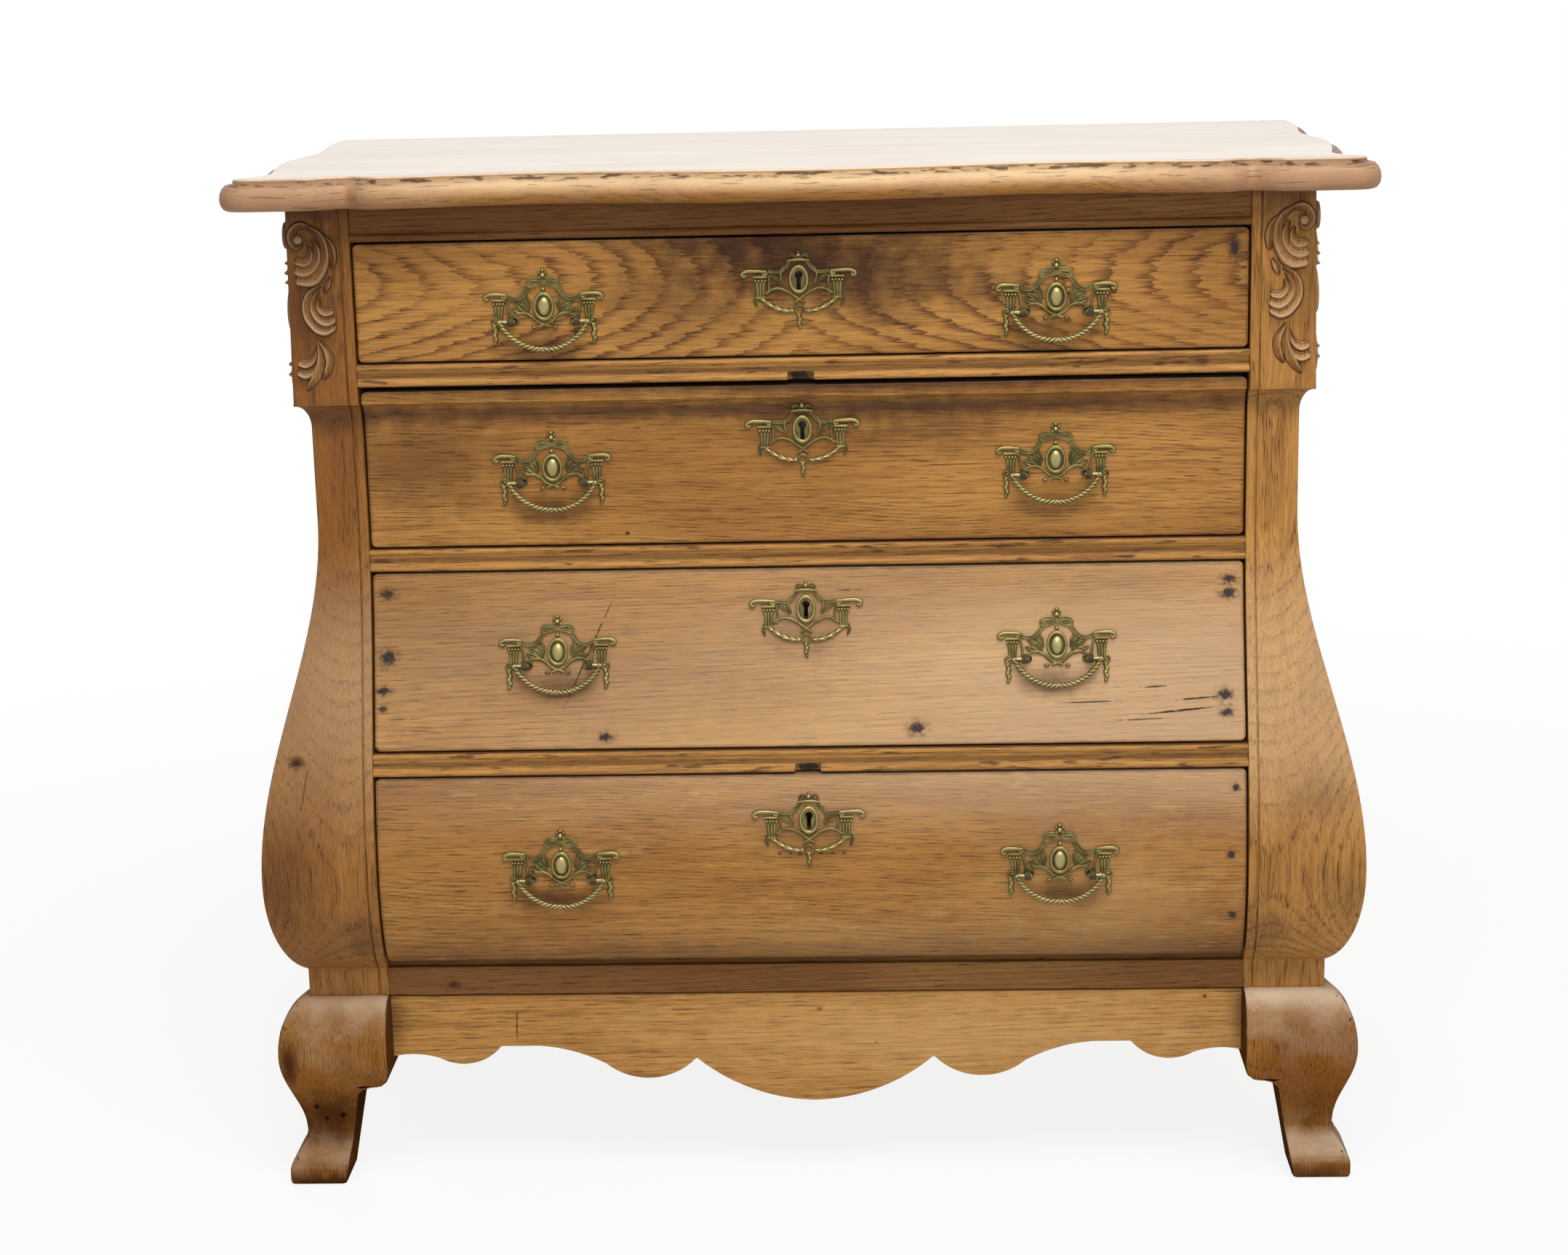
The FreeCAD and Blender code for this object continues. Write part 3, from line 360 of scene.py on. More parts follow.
class Oak(Graph):
    """Waxed oak cut from a log: growth rings about a heart line, pores, rays, tone and the marks of age.

    order gives the axes along the grain, across it and into the board.
    heart gives where the log's heart lies across the board and into it, in metres.
    drift and crown lean the heart line along the board, one way or both ways from the middle.
    """

    # How fast each pattern changes along the grain, across it and into the board, per metre
    WAVES = (2.2, 6.0, 6.0)
    SERRATIONS = (24.0, 380.0, 380.0)
    RING_PATCHES = (4.0, 22.0, 22.0)
    STREAKS = (17.0, 700.0, 700.0)
    PORES = (48.0, 1100.0, 1100.0)
    CLOUDS = (2.6, 9.0, 9.0)
    BANDS = (6.0, 170.0, 170.0)
    FLECKS = (34.0, 170.0, 170.0)
    MIDDLE_TONE = 0.35
    BAND_SHARE = 0.36

    # The stain round a nail and the heart of a knot, beside the size of the mark
    NAIL_STAIN = 1.9
    KNOT_HEART = 0.4

    def __init__(
        self,
        name,
        order,
        heart,
        seed,
        drift=0.02,
        crown=0.0,
        sway=0.012,
        spacing=0.0032,
        jag=0.5,
        lines=0.4,
        streaks=0.42,
        rays=0.0,
        tone=MIDDLE_TONE,
    ):
        self.material = new_material(name)
        super().__init__(self.material.node_tree)
        self.finish = bpy.context.scene.chest.oak
        self.place = self.object_place()
        self.x, self.y, self.z = self.split(self.place)
        axes = {"X": self.x, "Y": self.y, "Z": self.z}
        along, across, deep = (axes[letter] for letter in order)
        grain = self.join(along + seed, across + seed * 0.37, deep)
        slow = self.noise(grain, self.WAVES) - 0.5
        serration = self.noise(grain, self.SERRATIONS) - 0.5
        rise = across - heart[0] + slow * sway
        depth = deep - heart[1] + along * drift + slow * (sway * 1.5)
        if crown:
            depth = depth + self.maths("ABSOLUTE", along) * crown
        from_heart = self.vector("LENGTH", self.join(rise, depth, 0.0), output="Value")
        ring = from_heart / spacing + serration * jag
        early = self.smooth(self.maths("FRACT", ring), 0.5, 0.0)
        patch = self.patches(grain, self.RING_PATCHES, 1.0, 0.3, 0.64)
        streak = self.patches(grain, self.STREAKS, 3.0, 0.46, 0.76)
        pores = self.patches(grain, self.PORES, 1.0, 0.53, 0.66)
        cloud = self.noise(grain, self.CLOUDS, 3.0)
        self.ragged = self.noise(self.place, (60.0, 60.0, 60.0), 3.0) - 0.5
        self.fine = self.noise(self.place, (300.0, 300.0, 300.0)) - 0.5
        line = early * (patch * 0.75 + 0.25)
        shade = self.clamp(self.smooth(cloud, 0.3, 0.7) * 0.7 + (tone - self.MIDDLE_TONE))
        colour = self.mix(shade, self.finish.honey, self.finish.deep)
        bands = self.patches(grain, self.BANDS, 2.0, 0.42, 0.66)
        colour = self.mix(bands * self.BAND_SHARE, colour, self.finish.deep)
        colour = self.mix(streak * streaks, colour, self.finish.grain)
        colour = self.mix(line * lines, colour, self.finish.grain)
        if rays:
            fleck = self.patches(grain, self.FLECKS, 2.0, 0.56, 0.70)
            colour = self.mix(fleck * (patch * rays), colour, self.finish.ray_fleck_and_sheen)
        self.colour = self.mix(pores * (early * 0.5 + 0.34), colour, self.finish.pore)
        self.rough = streak * 0.1 + line * 0.08 + (cloud - 0.5) * 0.16 + self.finish.wax
        self.height = 1.0 - pores * 0.5 - line * 0.4 - streak * 0.3

    def cover(self, mask, colour):
        self.colour = self.mix(mask, self.colour, colour)

    def facing(self):
        return self.split(self.add("ShaderNodeNewGeometry", output="Normal"))

    def painted_sheen(self, strength, slope, level=0.05, steep=0.30):
        """Painted sheen: pale colour on what faces upwards, more so to the right, standing in for light from above
        and from the right.
        """
        upward = self.facing()[2]
        haze = self.patches(self.place, (2.4, 2.4, 6.0), 2.0, 0.3, 0.62)
        share = self.clamp(haze * 0.3 + 0.62 + self.x * slope)
        reach = self.smooth(upward, level, steep) * share
        self.cover(reach * strength, self.finish.painted_sheen)

    def spot(self, mark, wobble, solid=0.0, scale=1.0):
        """A mask over a mark that is 1 in its solid middle and 0 at its wobbling edge."""
        x, z, half_x, half_z, turn = mark
        settings = {
            "Vector": self.place,
            "Location": (x * MM, 0.0, z * MM),
            "Rotation": (0.0, -math.radians(turn), 0.0),
            "Scale": (half_x * scale * MM, 1000.0, half_z * scale * MM),
        }
        turned = self.add("ShaderNodeMapping", {"vector_type": "TEXTURE"}, settings)
        distance = self.vector("LENGTH", turned, output="Value") + wobble
        return self.smooth(distance, 1.0, solid)

    def marks(self, marks):
        broad = self.ragged * 0.9
        small = self.fine * 1.3
        slight = self.fine * 0.7
        broken = self.patches(self.place, (85.0, 85.0, 85.0), 2.0, 0.32, 0.46)
        for kind, *mark, strength in marks:
            # Dark marks: some are patina and dirt, some are painted shade
            if kind == "patina_and_shade":
                self.cover(self.spot(mark, broad) * strength, self.finish.patina_and_shade)
            # Pale marks paint the wood lighter; on drawer 3 they are painted sheen
            elif kind == "pale":
                self.cover(self.spot(mark, broad) * strength, self.finish.ray_fleck_and_sheen)
            elif kind == "nail":
                self.cover(self.spot(mark, small, 0.1, self.NAIL_STAIN) * 0.6, self.finish.patina_and_shade)
                self.cover(self.spot(mark, small, 0.4) * strength, self.finish.iron_stain)
            elif kind == "knot":
                self.cover(self.spot(mark, small, 0.3) * strength, self.finish.grain)
                self.cover(self.spot(mark, small, 0.3, self.KNOT_HEART) * strength, self.finish.dirt)
            else:
                mask = self.spot(mark, slight, 0.4) * strength
                if kind == "crack":
                    mask = mask * broken
                self.cover(mask, self.finish.dirt)
                self.height = self.height - mask * 2.0

    def border(self, low, high, width, strength):
        """Dirt along the edge of a board that faces the front."""
        sides = self.maths("MINIMUM", self.x - low.x, high.x - self.x)
        ends = self.maths("MINIMUM", self.z - low.z, high.z - self.z)
        inside = self.maths("MINIMUM", sides, ends) + self.ragged * width
        self.cover(self.smooth(inside, width, 0.0) * strength, self.finish.patina_and_shade)

    def close(self, polish=None, gloss=None):
        sockets = {
            "Base Color": self.colour,
            "Roughness": self.rough,
            "Specular IOR Level": self.finish.gloss if gloss is None else gloss,
            "Normal": self.bump(self.height, 0.35, 0.5 * MM),
        }
        if polish:
            sockets["Coat Weight"] = polish
            sockets["Coat Roughness"] = self.finish.polish
        self.surface(sockets)
        return self.material


# Modelling helpers
def deselect():
    bpy.ops.object.select_all(action="DESELECT")


def edit_mode():
    bpy.ops.object.mode_set(mode="EDIT")


def object_mode():
    bpy.ops.object.mode_set(mode="OBJECT")


def face_outwards():
    bpy.ops.mesh.select_all(action="SELECT")
    bpy.ops.mesh.normals_make_consistent(inside=False)


def only(piece):
    deselect()
    piece.select_set(True)
    bpy.context.view_layer.objects.active = piece


def copy_of(pattern, name):
    piece = bpy.data.objects.new(name, pattern.data.copy())
    bpy.context.collection.objects.link(piece)
    return piece


def dress(piece, node, material):
    piece.data.materials.clear()
    piece.data.materials.append(material)
    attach(piece, NODE_BODY[node])
    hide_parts(node)


def worn_copy(node, suffix, edge, holes=(), spared=(0.0, 0.0), carve=None):
    """A copy of a node with its sharp edges worn round, apart from those near a hole or in a spared strip.

    spared gives how near to the chest's middle the strip starts and ends, in metres.
    carve shapes the copy in edit mode before its edges are worn.
    """
    piece = copy_of(frame["nodes"][node], f"{node}_{suffix}")
    only(piece)
    mesh = piece.data
    bpy.ops.mesh.customdata_custom_splitnormals_clear()
    edit_mode()
    bpy.ops.mesh.select_mode(type="FACE")
    bpy.ops.mesh.select_all(action="SELECT")
    bpy.ops.mesh.remove_doubles(threshold=MERGE_DISTANCE)
    object_mode()
    near, far = spared
    for face in mesh.polygons:
        face.select = not near < abs(face.center.x) < far
    edit_mode()
    bpy.ops.mesh.dissolve_limited(angle_limit=FLAT_ANGLE)
    if carve:
        carve(piece)
    bpy.ops.mesh.select_mode(type="EDGE")
    bpy.ops.mesh.select_all(action="DESELECT")
    bpy.ops.mesh.edges_select_sharp(sharpness=math.radians(SHARP_DEGREES))
    object_mode()
    weights = mesh.attributes.new("bevel_weight_edge", "FLOAT", "EDGE")
    for line in mesh.edges:
        start, end = (mesh.vertices[index].co for index in line.vertices)
        middle = (start + end) / 2
        kept = near < abs(middle.x) < far
        kept = kept or any(math.hypot(middle.x - x, middle.z - z) < radius for x, z, radius in holes)
        weights.data[line.index].value = 1.0 if line.select and not kept else 0.0
    bevel = piece.modifiers.new("worn_edges", "BEVEL")
    bevel.limit_method = "WEIGHT"
    bevel.width = edge
    bevel.segments = 2
    bevel.use_clamp_overlap = False
    bpy.ops.object.modifier_apply(modifier=bevel.name)
    bpy.ops.object.shade_smooth_by_angle(angle=math.radians(SHARP_DEGREES))
    even = piece.modifiers.new("even_shading", "WEIGHTED_NORMAL")
    even.keep_sharp = True
    bpy.ops.object.modifier_apply(modifier=even.name)
    return piece


def wooden(node, edge, material, holes=(), spared=(0.0, 0.0), carve=None):
    dress(worn_copy(node, "worn", edge, holes, spared, carve), node, material)


def front_reach(height):
    if height >= BLOCK_FOOT:
        return 0.0
    if height >= BLOCK_FOOT - COVE_HEIGHT:
        return WAIST_REACH * math.sin(math.acos(1 - (BLOCK_FOOT - height) / COVE_HEIGHT))
    if height >= SHOULDER:
        return WAIST_REACH
    if height >= BELLY:
        share = (SHOULDER - height) / (SHOULDER - BELLY)
        return WAIST_REACH + (BELLY_REACH - WAIST_REACH) * (1 - math.cos(math.pi * share)) / 2
    share = min(1.0, (BELLY - height) / (BELLY - UNDER))
    return UNDER_REACH + (BELLY_REACH - UNDER_REACH) * math.sqrt(1 - share * share)


def drawer_face(height):
    return BLOCK_FACE + DRAWER_SETBACK - front_reach(height)


def front_lean(height):
    step = 1 * MM
    return math.atan((front_reach(height - step) - front_reach(height + step)) / (2 * step))


# Sections that strands of brass and carved leaves are swept with, about a radius of 1
def round_section(sides=8, foot=-0.4):
    arc = [(math.cos(math.pi * step / sides), math.sin(math.pi * step / sides)) for step in range(sides + 1)]
    return [(1.0, foot)] + arc + [(-1.0, foot)]


def leaf_section():
    half = [(1.0, -0.5), (1.0, 0.3), (0.86, 0.66), (0.64, 0.74), (0.4, 0.5), (0.16, 0.3)]
    return half + [(-x, y) for x, y in reversed(half)]


def rim_section(side):
    """A raised rim with a shallow foot outside it, falling into a hollow on the other side."""
    rim = [(-1.45, -0.9), (-1.45, 0.1), (-1.2, 0.2), (-1.02, 0.6), (-0.92, 1.05), (-0.74, 1.25), (-0.54, 1.1)]
    hollow = [(-0.28, 0.72), (0.05, 0.46), (0.45, 0.34), (0.8, 0.42), (1.0, 0.3), (1.2, 0.12), (1.2, -0.9)]
    return [(x * side, y) for x, y in rim + hollow]


def ribbon_section():
    half = [(1.0, -0.4), (1.0, 0.35), (0.7, 0.5), (0.35, 0.32)]
    return half + [(-x, y) for x, y in reversed(half)]


def rope_section(strands=3, sides=15):
    points = []
    for step in range(sides):
        angle = 2 * math.pi * step / sides
        radius = 0.87 + 0.13 * math.cos(strands * angle)
        points.append((radius * math.cos(angle), radius * math.sin(angle)))
    return points


SECTIONS = {
    "round": round_section(),
    "leaf": leaf_section(),
    "left_rim": rim_section(1),
    "right_rim": rim_section(-1),
    "ribbon": ribbon_section(),
    "rope": rope_section(),
}


def section_curve(name):
    curve = bpy.data.curves.new(f"{name}_section", "CURVE")
    curve.dimensions = "2D"
    spline = curve.splines.new("POLY")
    spline.points.add(len(SECTIONS[name]) - 1)
    for point, (x, y) in zip(spline.points, SECTIONS[name]):
        point.co = (x, y, 0, 1)
    spline.use_cyclic_u = True
    section = bpy.data.objects.new(f"{name}_section", curve)
    bpy.context.collection.objects.link(section)
    return section


def in_metres(*millimetres):
    return tuple(length * MM for length in millimetres)


def strand(points, radii, section="round", lift=0.0, twist=0.0, smoothness=5):
    """A strand swept through points on the plane, in millimetres, standing up along Z."""
    shape = section_curve(section)
    deselect()
    bpy.ops.curve.primitive_bezier_curve_add()
    line = bpy.context.object.data
    line.dimensions = "3D"
    line.twist_mode = "Z_UP"
    line.resolution_u = smoothness
    line.bevel_mode = "OBJECT"
    line.bevel_object = shape
    line.use_fill_caps = True
    spline = line.splines[0]
    spline.tilt_interpolation = "LINEAR"
    spline.bezier_points.add(len(points) - 2)
    if not isinstance(radii, list):
        radii = [radii] * len(points)
    for index, (knot, point, radius) in enumerate(zip(spline.bezier_points, points, radii)):
        knot.co = in_metres(*point, lift)
        knot.handle_left_type = "AUTO"
        knot.handle_right_type = "AUTO"
        knot.radius = radius * MM
        knot.tilt = twist * index
    bpy.ops.object.convert(target="MESH")
    bpy.data.objects.remove(shape)
    return bpy.context.object


def primitive(add, place, scale=None, **measures):
    """A primitive at a size and turn, scaled and moved in edit mode, so its object stays at the origin."""
    deselect()
    add(**measures)
    piece = bpy.context.object
    bpy.ops.object.transform_apply(location=False, rotation=True, scale=False)
    edit_mode()
    if scale:
        bpy.ops.transform.resize(value=scale)
    bpy.ops.transform.translate(value=place)
    object_mode()
    return piece


def box(size, place):
    return primitive(bpy.ops.mesh.primitive_cube_add, place, size, size=1.0)


def cylinder(radius, depth, place, vertices, turn=(0, 0, 0)):
    add = bpy.ops.mesh.primitive_cylinder_add
    return primitive(add, place, vertices=vertices, radius=radius, depth=depth, rotation=turn)


def ball(x, y, radius, lift=0.0, scale=(1, 1, 1)):
    add = bpy.ops.mesh.primitive_uv_sphere_add
    return primitive(add, in_metres(x, y, lift), scale, segments=12, ring_count=6, radius=radius * MM)


def ring(x, y, radius, thickness, lift=0.0, scale=(1, 1, 1), segments=24):
    add = bpy.ops.mesh.primitive_torus_add
    sizes = {"major_radius": radius * MM, "minor_radius": thickness * MM}
    return primitive(add, in_metres(x, y, lift), scale, major_segments=segments, minor_segments=8, **sizes)


def slab(points, thickness):
    """A flat piece with the given outline in millimetres, its edges rounded."""
    deselect()
    bpy.ops.mesh.primitive_circle_add(vertices=len(points), radius=1.0, fill_type="NGON")
    piece = bpy.context.object
    for vertex, point in zip(piece.data.vertices, points):
        vertex.co = in_metres(*point, 0.0)
    edit_mode()
    face_outwards()
    bpy.ops.mesh.extrude_region_move(TRANSFORM_OT_translate={"value": (0, 0, thickness * MM)})
    face_outwards()
    object_mode()
    soften(piece, 0.4)
    return piece


def soften(piece, softness):
    only(piece)
    bevel = piece.modifiers.new("soft_edges", "BEVEL")
    bevel.limit_method = "ANGLE"
    bevel.angle_limit = SOFT_ANGLE
    bevel.width = softness * MM
    bevel.segments = 2
    bpy.ops.object.modifier_apply(modifier=bevel.name)


def cut_out(piece, cutter):
    only(piece)
    cut = piece.modifiers.new("cut", "BOOLEAN")
    cut.operation = "DIFFERENCE"
    cut.object = cutter
    cut.solver = "EXACT"
    bpy.ops.object.modifier_apply(modifier=cut.name)
    bpy.data.objects.remove(cutter)


def oval_points(half_x, half_y, count=28):
    turns = [2 * math.pi * step / count for step in range(count)]
    return [(half_x * math.cos(turn), half_y * math.sin(turn)) for turn in turns]


def mirrored(side, *points):
    return [(side * x, y) for x, y in points]


def joined(pieces, name, smooth_degrees=45):
    deselect()
    for piece in pieces:
        piece.select_set(True)
    bpy.context.view_layer.objects.active = pieces[0]
    bpy.ops.object.join()
    whole = bpy.context.view_layer.objects.active
    whole.name = name
    edit_mode()
    bpy.ops.mesh.select_all(action="SELECT")
    bpy.ops.mesh.remove_doubles(threshold=MERGE_DISTANCE)
    face_outwards()
    object_mode()
    bpy.ops.object.shade_smooth_by_angle(angle=math.radians(smooth_degrees))
    return whole


def keep_relief(piece, shares):
    """Keeps how far each point stands up, as a share of the full height, for the finish to read."""
    relief = piece.data.attributes.new("relief", "FLOAT", "POINT")
    relief.data.foreach_set("value", shares)


def flat_relief(piece, full):
    """Reads the relief of a flat pattern off its heights, with the knuckles that tower over it kept low."""
    heights = [vertex.co.z / (full * MM) for vertex in piece.data.vertices]
    keep_relief(piece, [height if height < RELIEF_LIMIT else KNUCKLE_RELIEF for height in heights])


def move_points(piece, to_world):
    for vertex in piece.data.vertices:
        vertex.co = to_world(vertex.co)
    piece.data.update()


def turn_outwards(piece):
    only(piece)
    edit_mode()
    face_outwards()
    object_mode()


# Finishes
def brass_finish():
    finish = bpy.context.scene.chest.brass
    material = new_material("cast_brass")
    graph = Graph(material.node_tree)
    place = graph.object_place()
    relief = graph.relief()
    speckle = graph.noise(place, (900, 900, 900), 3.0)
    cloud = graph.noise(place, (120, 120, 120))
    hollow = 1.0 - graph.smooth(relief + (speckle - 0.5) * 0.5, 0.2, 0.86)
    rubbed = graph.smooth(relief + (cloud - 0.5) * 0.6, 0.7, 1.15)
    colour = graph.mix(graph.smooth(cloud, 0.35, 0.65), finish.cast, finish.tarnish)
    colour = graph.mix(hollow * 0.85, colour, finish.hollow)
    sockets = {
        "Base Color": graph.mix(rubbed * 0.6, colour, finish.worn),
        "Roughness": hollow * 0.3 + (speckle - 0.5) * 0.2 + finish.dull,
        "Metallic": 0.9 - hollow * 0.6,
        "Normal": graph.bump(speckle, 0.25, 0.4 * MM),
    }
    graph.surface(sockets)
    return material


def iron_finish():
    finish = bpy.context.scene.chest.iron
    material = new_material("old_iron")
    graph = Graph(material.node_tree)
    place = graph.object_place()
    pits = graph.noise(place, (420, 420, 420), 4.0)
    cloud = graph.noise(place, (60, 60, 60), 3.0)
    rust = graph.smooth(cloud + (pits - 0.5) * 0.5, 0.42, 0.68)
    sockets = {
        "Base Color": graph.mix(rust, finish.bare, finish.rust),
        "Roughness": rust * 0.35 + 0.42,
        "Metallic": 0.85 - rust * 0.6,
        "Normal": graph.bump(pits, 0.35, 0.4 * MM),
    }
    graph.surface(sockets)
    return material


def raw_oak(name, order, heart, seed, marks=()):
    graph = Oak(name, order, heart, seed)
    graph.cover(0.55, graph.finish.raw)
    dust = graph.patches(graph.place, (14, 14, 14), 4.0, 0.4, 0.75)
    graph.cover(dust * 0.3, graph.finish.grain)
    graph.rough = graph.rough + 0.25
    if marks:
        graph.marks(marks)
    return graph.close()


def top_oak(name, seed):
    """Pale polished oak on the flat of the top, its pale colour partly sun bleaching and partly a painted
    reflection; rubbed and chipped oak round its nose, painted lighter on the nose's top half as a highlight and
    darker on its bottom half as shade.
    """
    heart = (0.02, TOP_FACE - 0.12)
    graph = Oak(name, "XYZ", heart, seed, drift=0.05, sway=0.02, spacing=0.0042, tone=0.2)
    flat = graph.smooth(graph.z, TOP_FACE - 2.2 * MM, TOP_FACE - 0.8 * MM)
    worn = graph.patches(graph.place, (3, 9, 9), 3.0, 0.25, 0.65)
    # Painted reflection, with sun bleaching: the flat of the top is painted pale
    graph.cover(flat * (worn * 0.25 + 0.4), graph.finish.bleached_and_sheen)
    stain = graph.patches(graph.place, (2.5, 7, 7), 3.0, 0.56, 0.72)
    graph.cover(stain * flat * 0.3, graph.finish.honey)
    nose = 1.0 - flat
    # Painted light on the nose: its top half is painted lighter as a highlight, its bottom half darker as shade
    lit_share = graph.smooth(graph.facing()[2], -0.35, 0.5)
    ends = graph.smooth(graph.maths("ABSOLUTE", graph.x), 0.22, 0.42)
    graph.cover(nose * lit_share * (0.72 - ends * 0.6), graph.finish.ray_fleck_and_sheen)
    graph.cover(nose * lit_share * (0.45 - ends * 0.25), graph.finish.painted_sheen)
    graph.cover(nose * (1.0 - lit_share) * 0.5, graph.finish.deep)
    scuff = graph.patches(graph.place, (18, 30, 30), 3.0, 0.52, 0.66)
    graph.cover(nose * (scuff * 0.2 + ends * 0.6), graph.finish.scuffed)
    chips = graph.patches(graph.place, (55, 90, 160), 3.0, 0.5, 0.6)
    step = graph.smooth(graph.z, TOP_FACE - 7.5 * MM, TOP_FACE - 4.5 * MM)
    step = step * graph.smooth(graph.z, TOP_FACE - 1.5 * MM, TOP_FACE - 3.6 * MM)
    graph.cover(step * (chips * 0.7 + 0.2), graph.finish.patina_and_shade)
    nicks = graph.patches(graph.place, (38, 38, 620), 3.0, 0.6, 0.66)
    graph.cover(nicks * nose * 0.42, graph.finish.patina_and_shade)
    graph.height = graph.height - step * chips * 2.0 - nicks * 1.5
    return graph.close(flat)


# What the photograph shows on each board: kind, X, Z, half sizes, turn in degrees, strength, in millimetres
DRAWER_MARKS = {
    1: [
        ("patina_and_shade", -3, 812, 110, 46, 0, 0.75),
        ("patina_and_shade", 58, 786, 60, 34, -25, 0.6),
        ("patina_and_shade", 30, 816, 200, 56, -4, 0.6),
        ("patina_and_shade", 120, 800, 150, 34, -12, 0.45),
        ("patina_and_shade", -60, 834, 120, 14, 0, 0.7),
        ("patina_and_shade", -105, 788, 110, 60, 0, 0.4),
        ("patina_and_shade", -219, 746, 52, 20, 0, 0.75),
        ("patina_and_shade", 205, 752, 55, 26, 0, 0.65),
        ("nail", 366, 822, 5, 9, 0, 0.9),
        ("crack", 331, 816, 32, 0.9, -1, 0.8),
    ],
    2: [
        # Painted shade in the cove under drawer 2's lip
        ("patina_and_shade", 0, 691, 1500, 14, 0, 0.7),
        ("patina_and_shade", 0, 712, 1500, 11, 0, 0.5),
        ("patina_and_shade", 30, 714, 250, 18, 0, 0.5),
        ("patina_and_shade", -325, 645, 110, 80, 0, 0.45),
        ("patina_and_shade", 106, 673, 100, 34, 0, 0.45),
        ("patina_and_shade", -222, 606, 50, 20, 0, 0.75),
        ("patina_and_shade", 212, 606, 50, 20, 0, 0.55),
        ("patina_and_shade", 0, 676, 80, 30, 0, 0.5),
        ("hole", -154, 584, 2.6, 2.2, 0, 0.9),
    ],
    3: [
        ("patina_and_shade", -340, 500, 150, 110, 0, 0.2),
        # Painted sheen: pale marks where drawer 3's face leans up towards the light
        ("pale", -60, 415, 210, 45, 0, 0.3),
        ("pale", 190, 500, 130, 60, 0, 0.2),
        ("nail", -366, 534, 7, 5, 0, 0.8),
        ("nail", -366, 480, 8, 7, 0, 0.9),
        ("nail", -370, 452, 7, 4, 0, 0.9),
        ("nail", -371, 437, 4, 3, 0, 0.7),
        ("nail", -176, 411, 7, 4, 0, 0.9),
        ("nail", 95, 415, 8, 6, 0, 0.9),
        ("nail", 366, 537, 7, 4, 0, 0.9),
        ("nail", 365, 525, 7, 5, 0, 0.9),
        ("nail", 361, 440, 7, 5, 0, 0.9),
        ("nail", 363, 425, 6, 4, 0, 0.9),
        ("crack", -189, 484, 66, 1.3, 64.4, 0.75),
        ("crack", 246, 435, 34, 1.0, 1, 0.85),
        ("crack", 299, 447, 15, 1.1, 2, 0.9),
        ("crack", 323, 427, 40, 1.3, 5, 0.95),
        ("crack", 289, 420, 30, 0.8, 2, 0.8),
        ("crack", 337, 437, 26, 1.1, 4, 0.9),
        ("crack", 38, 532, 14, 0.8, 0, 0.8),
        ("crack", -352, 428, 20, 0.8, 2, 0.8),
        ("crack", -345, 418, 26, 0.7, -1, 0.7),
        ("patina_and_shade", -217, 452, 46, 20, 0, 0.6),
        ("patina_and_shade", 217, 452, 46, 20, 0, 0.6),
        ("patina_and_shade", 0, 500, 60, 40, 0, 0.35),
    ],
    4: [
        ("pale", 255, 260, 170, 110, 0, 0.3),
        ("pale", 40, 228, 190, 40, 0, 0.2),
        ("nail", 369, 362, 3.5, 3.5, 0, 0.9),
        ("nail", 365, 304, 4, 4, 0, 0.9),
        ("nail", 367, 248, 3.5, 4, 0, 0.9),
        ("patina_and_shade", -225, 270, 52, 20, 0, 0.75),
        ("patina_and_shade", 222, 270, 52, 20, 0, 0.75),
        ("patina_and_shade", 0, 325, 70, 40, 0, 0.35),
        # Painted shade along the bottom of drawer 4, where its belly turns under
        ("patina_and_shade", 0, 208, 1500, 34, 0, 0.4),
        ("crack", -307, 296, 12, 0.8, 0, 0.7),
        ("hole", -26, 309, 3, 1.4, 0, 0.8),
        ("hole", -16, 309, 2, 1.4, 0, 0.8),
        ("hole", -8, 309, 2.4, 1.4, 0, 0.8),
        ("hole", 10, 309, 2.4, 1.4, 0, 0.8),
        ("hole", 20, 309, 2, 1.4, 0, 0.8),
        ("hole", 30, 309, 2.4, 1.4, 0, 0.8),
    ],
}
BASE_RAIL_MARKS = [("knot", -322, 181, 10, 6, 0, 0.85)]
APRON_MARKS = [
    ("knot", 5, 154, 4, 3, 0, 0.9),
    ("crack", -267, 142, 20, 1.0, 88, 0.85),
    ("hole", 55, 122, 2.2, 2, 0, 0.9),
    ("hole", 347, 163, 2.2, 2, 0, 0.9),
    ("patina_and_shade", -380, 150, 20, 40, 0, 0.5),
    ("patina_and_shade", 380, 150, 20, 40, 0, 0.5),
    ("pale", 120, 130, 420, 70, 0, 0.4),
]
LEFT_POST_MARKS = [
    ("knot", -447, 393, 11, 8, 0, 0.85),
    ("crack", -440, 372, 24, 1.0, 80, 0.6),
    # Painted shade: the next four marks darken the block under the top's overhang, the cove under the block and
    # the outer flank of the swell
    ("patina_and_shade", -412, 874, 90, 56, 0, 0.8),
    ("patina_and_shade", -425, 790, 44, 100, 0, 0.55),
    ("patina_and_shade", -412, 690, 70, 22, 0, 0.45),
    ("patina_and_shade", -470, 290, 50, 90, 0, 0.45),
    ("patina_and_shade", -395, 230, 40, 40, 0, 0.4),
]
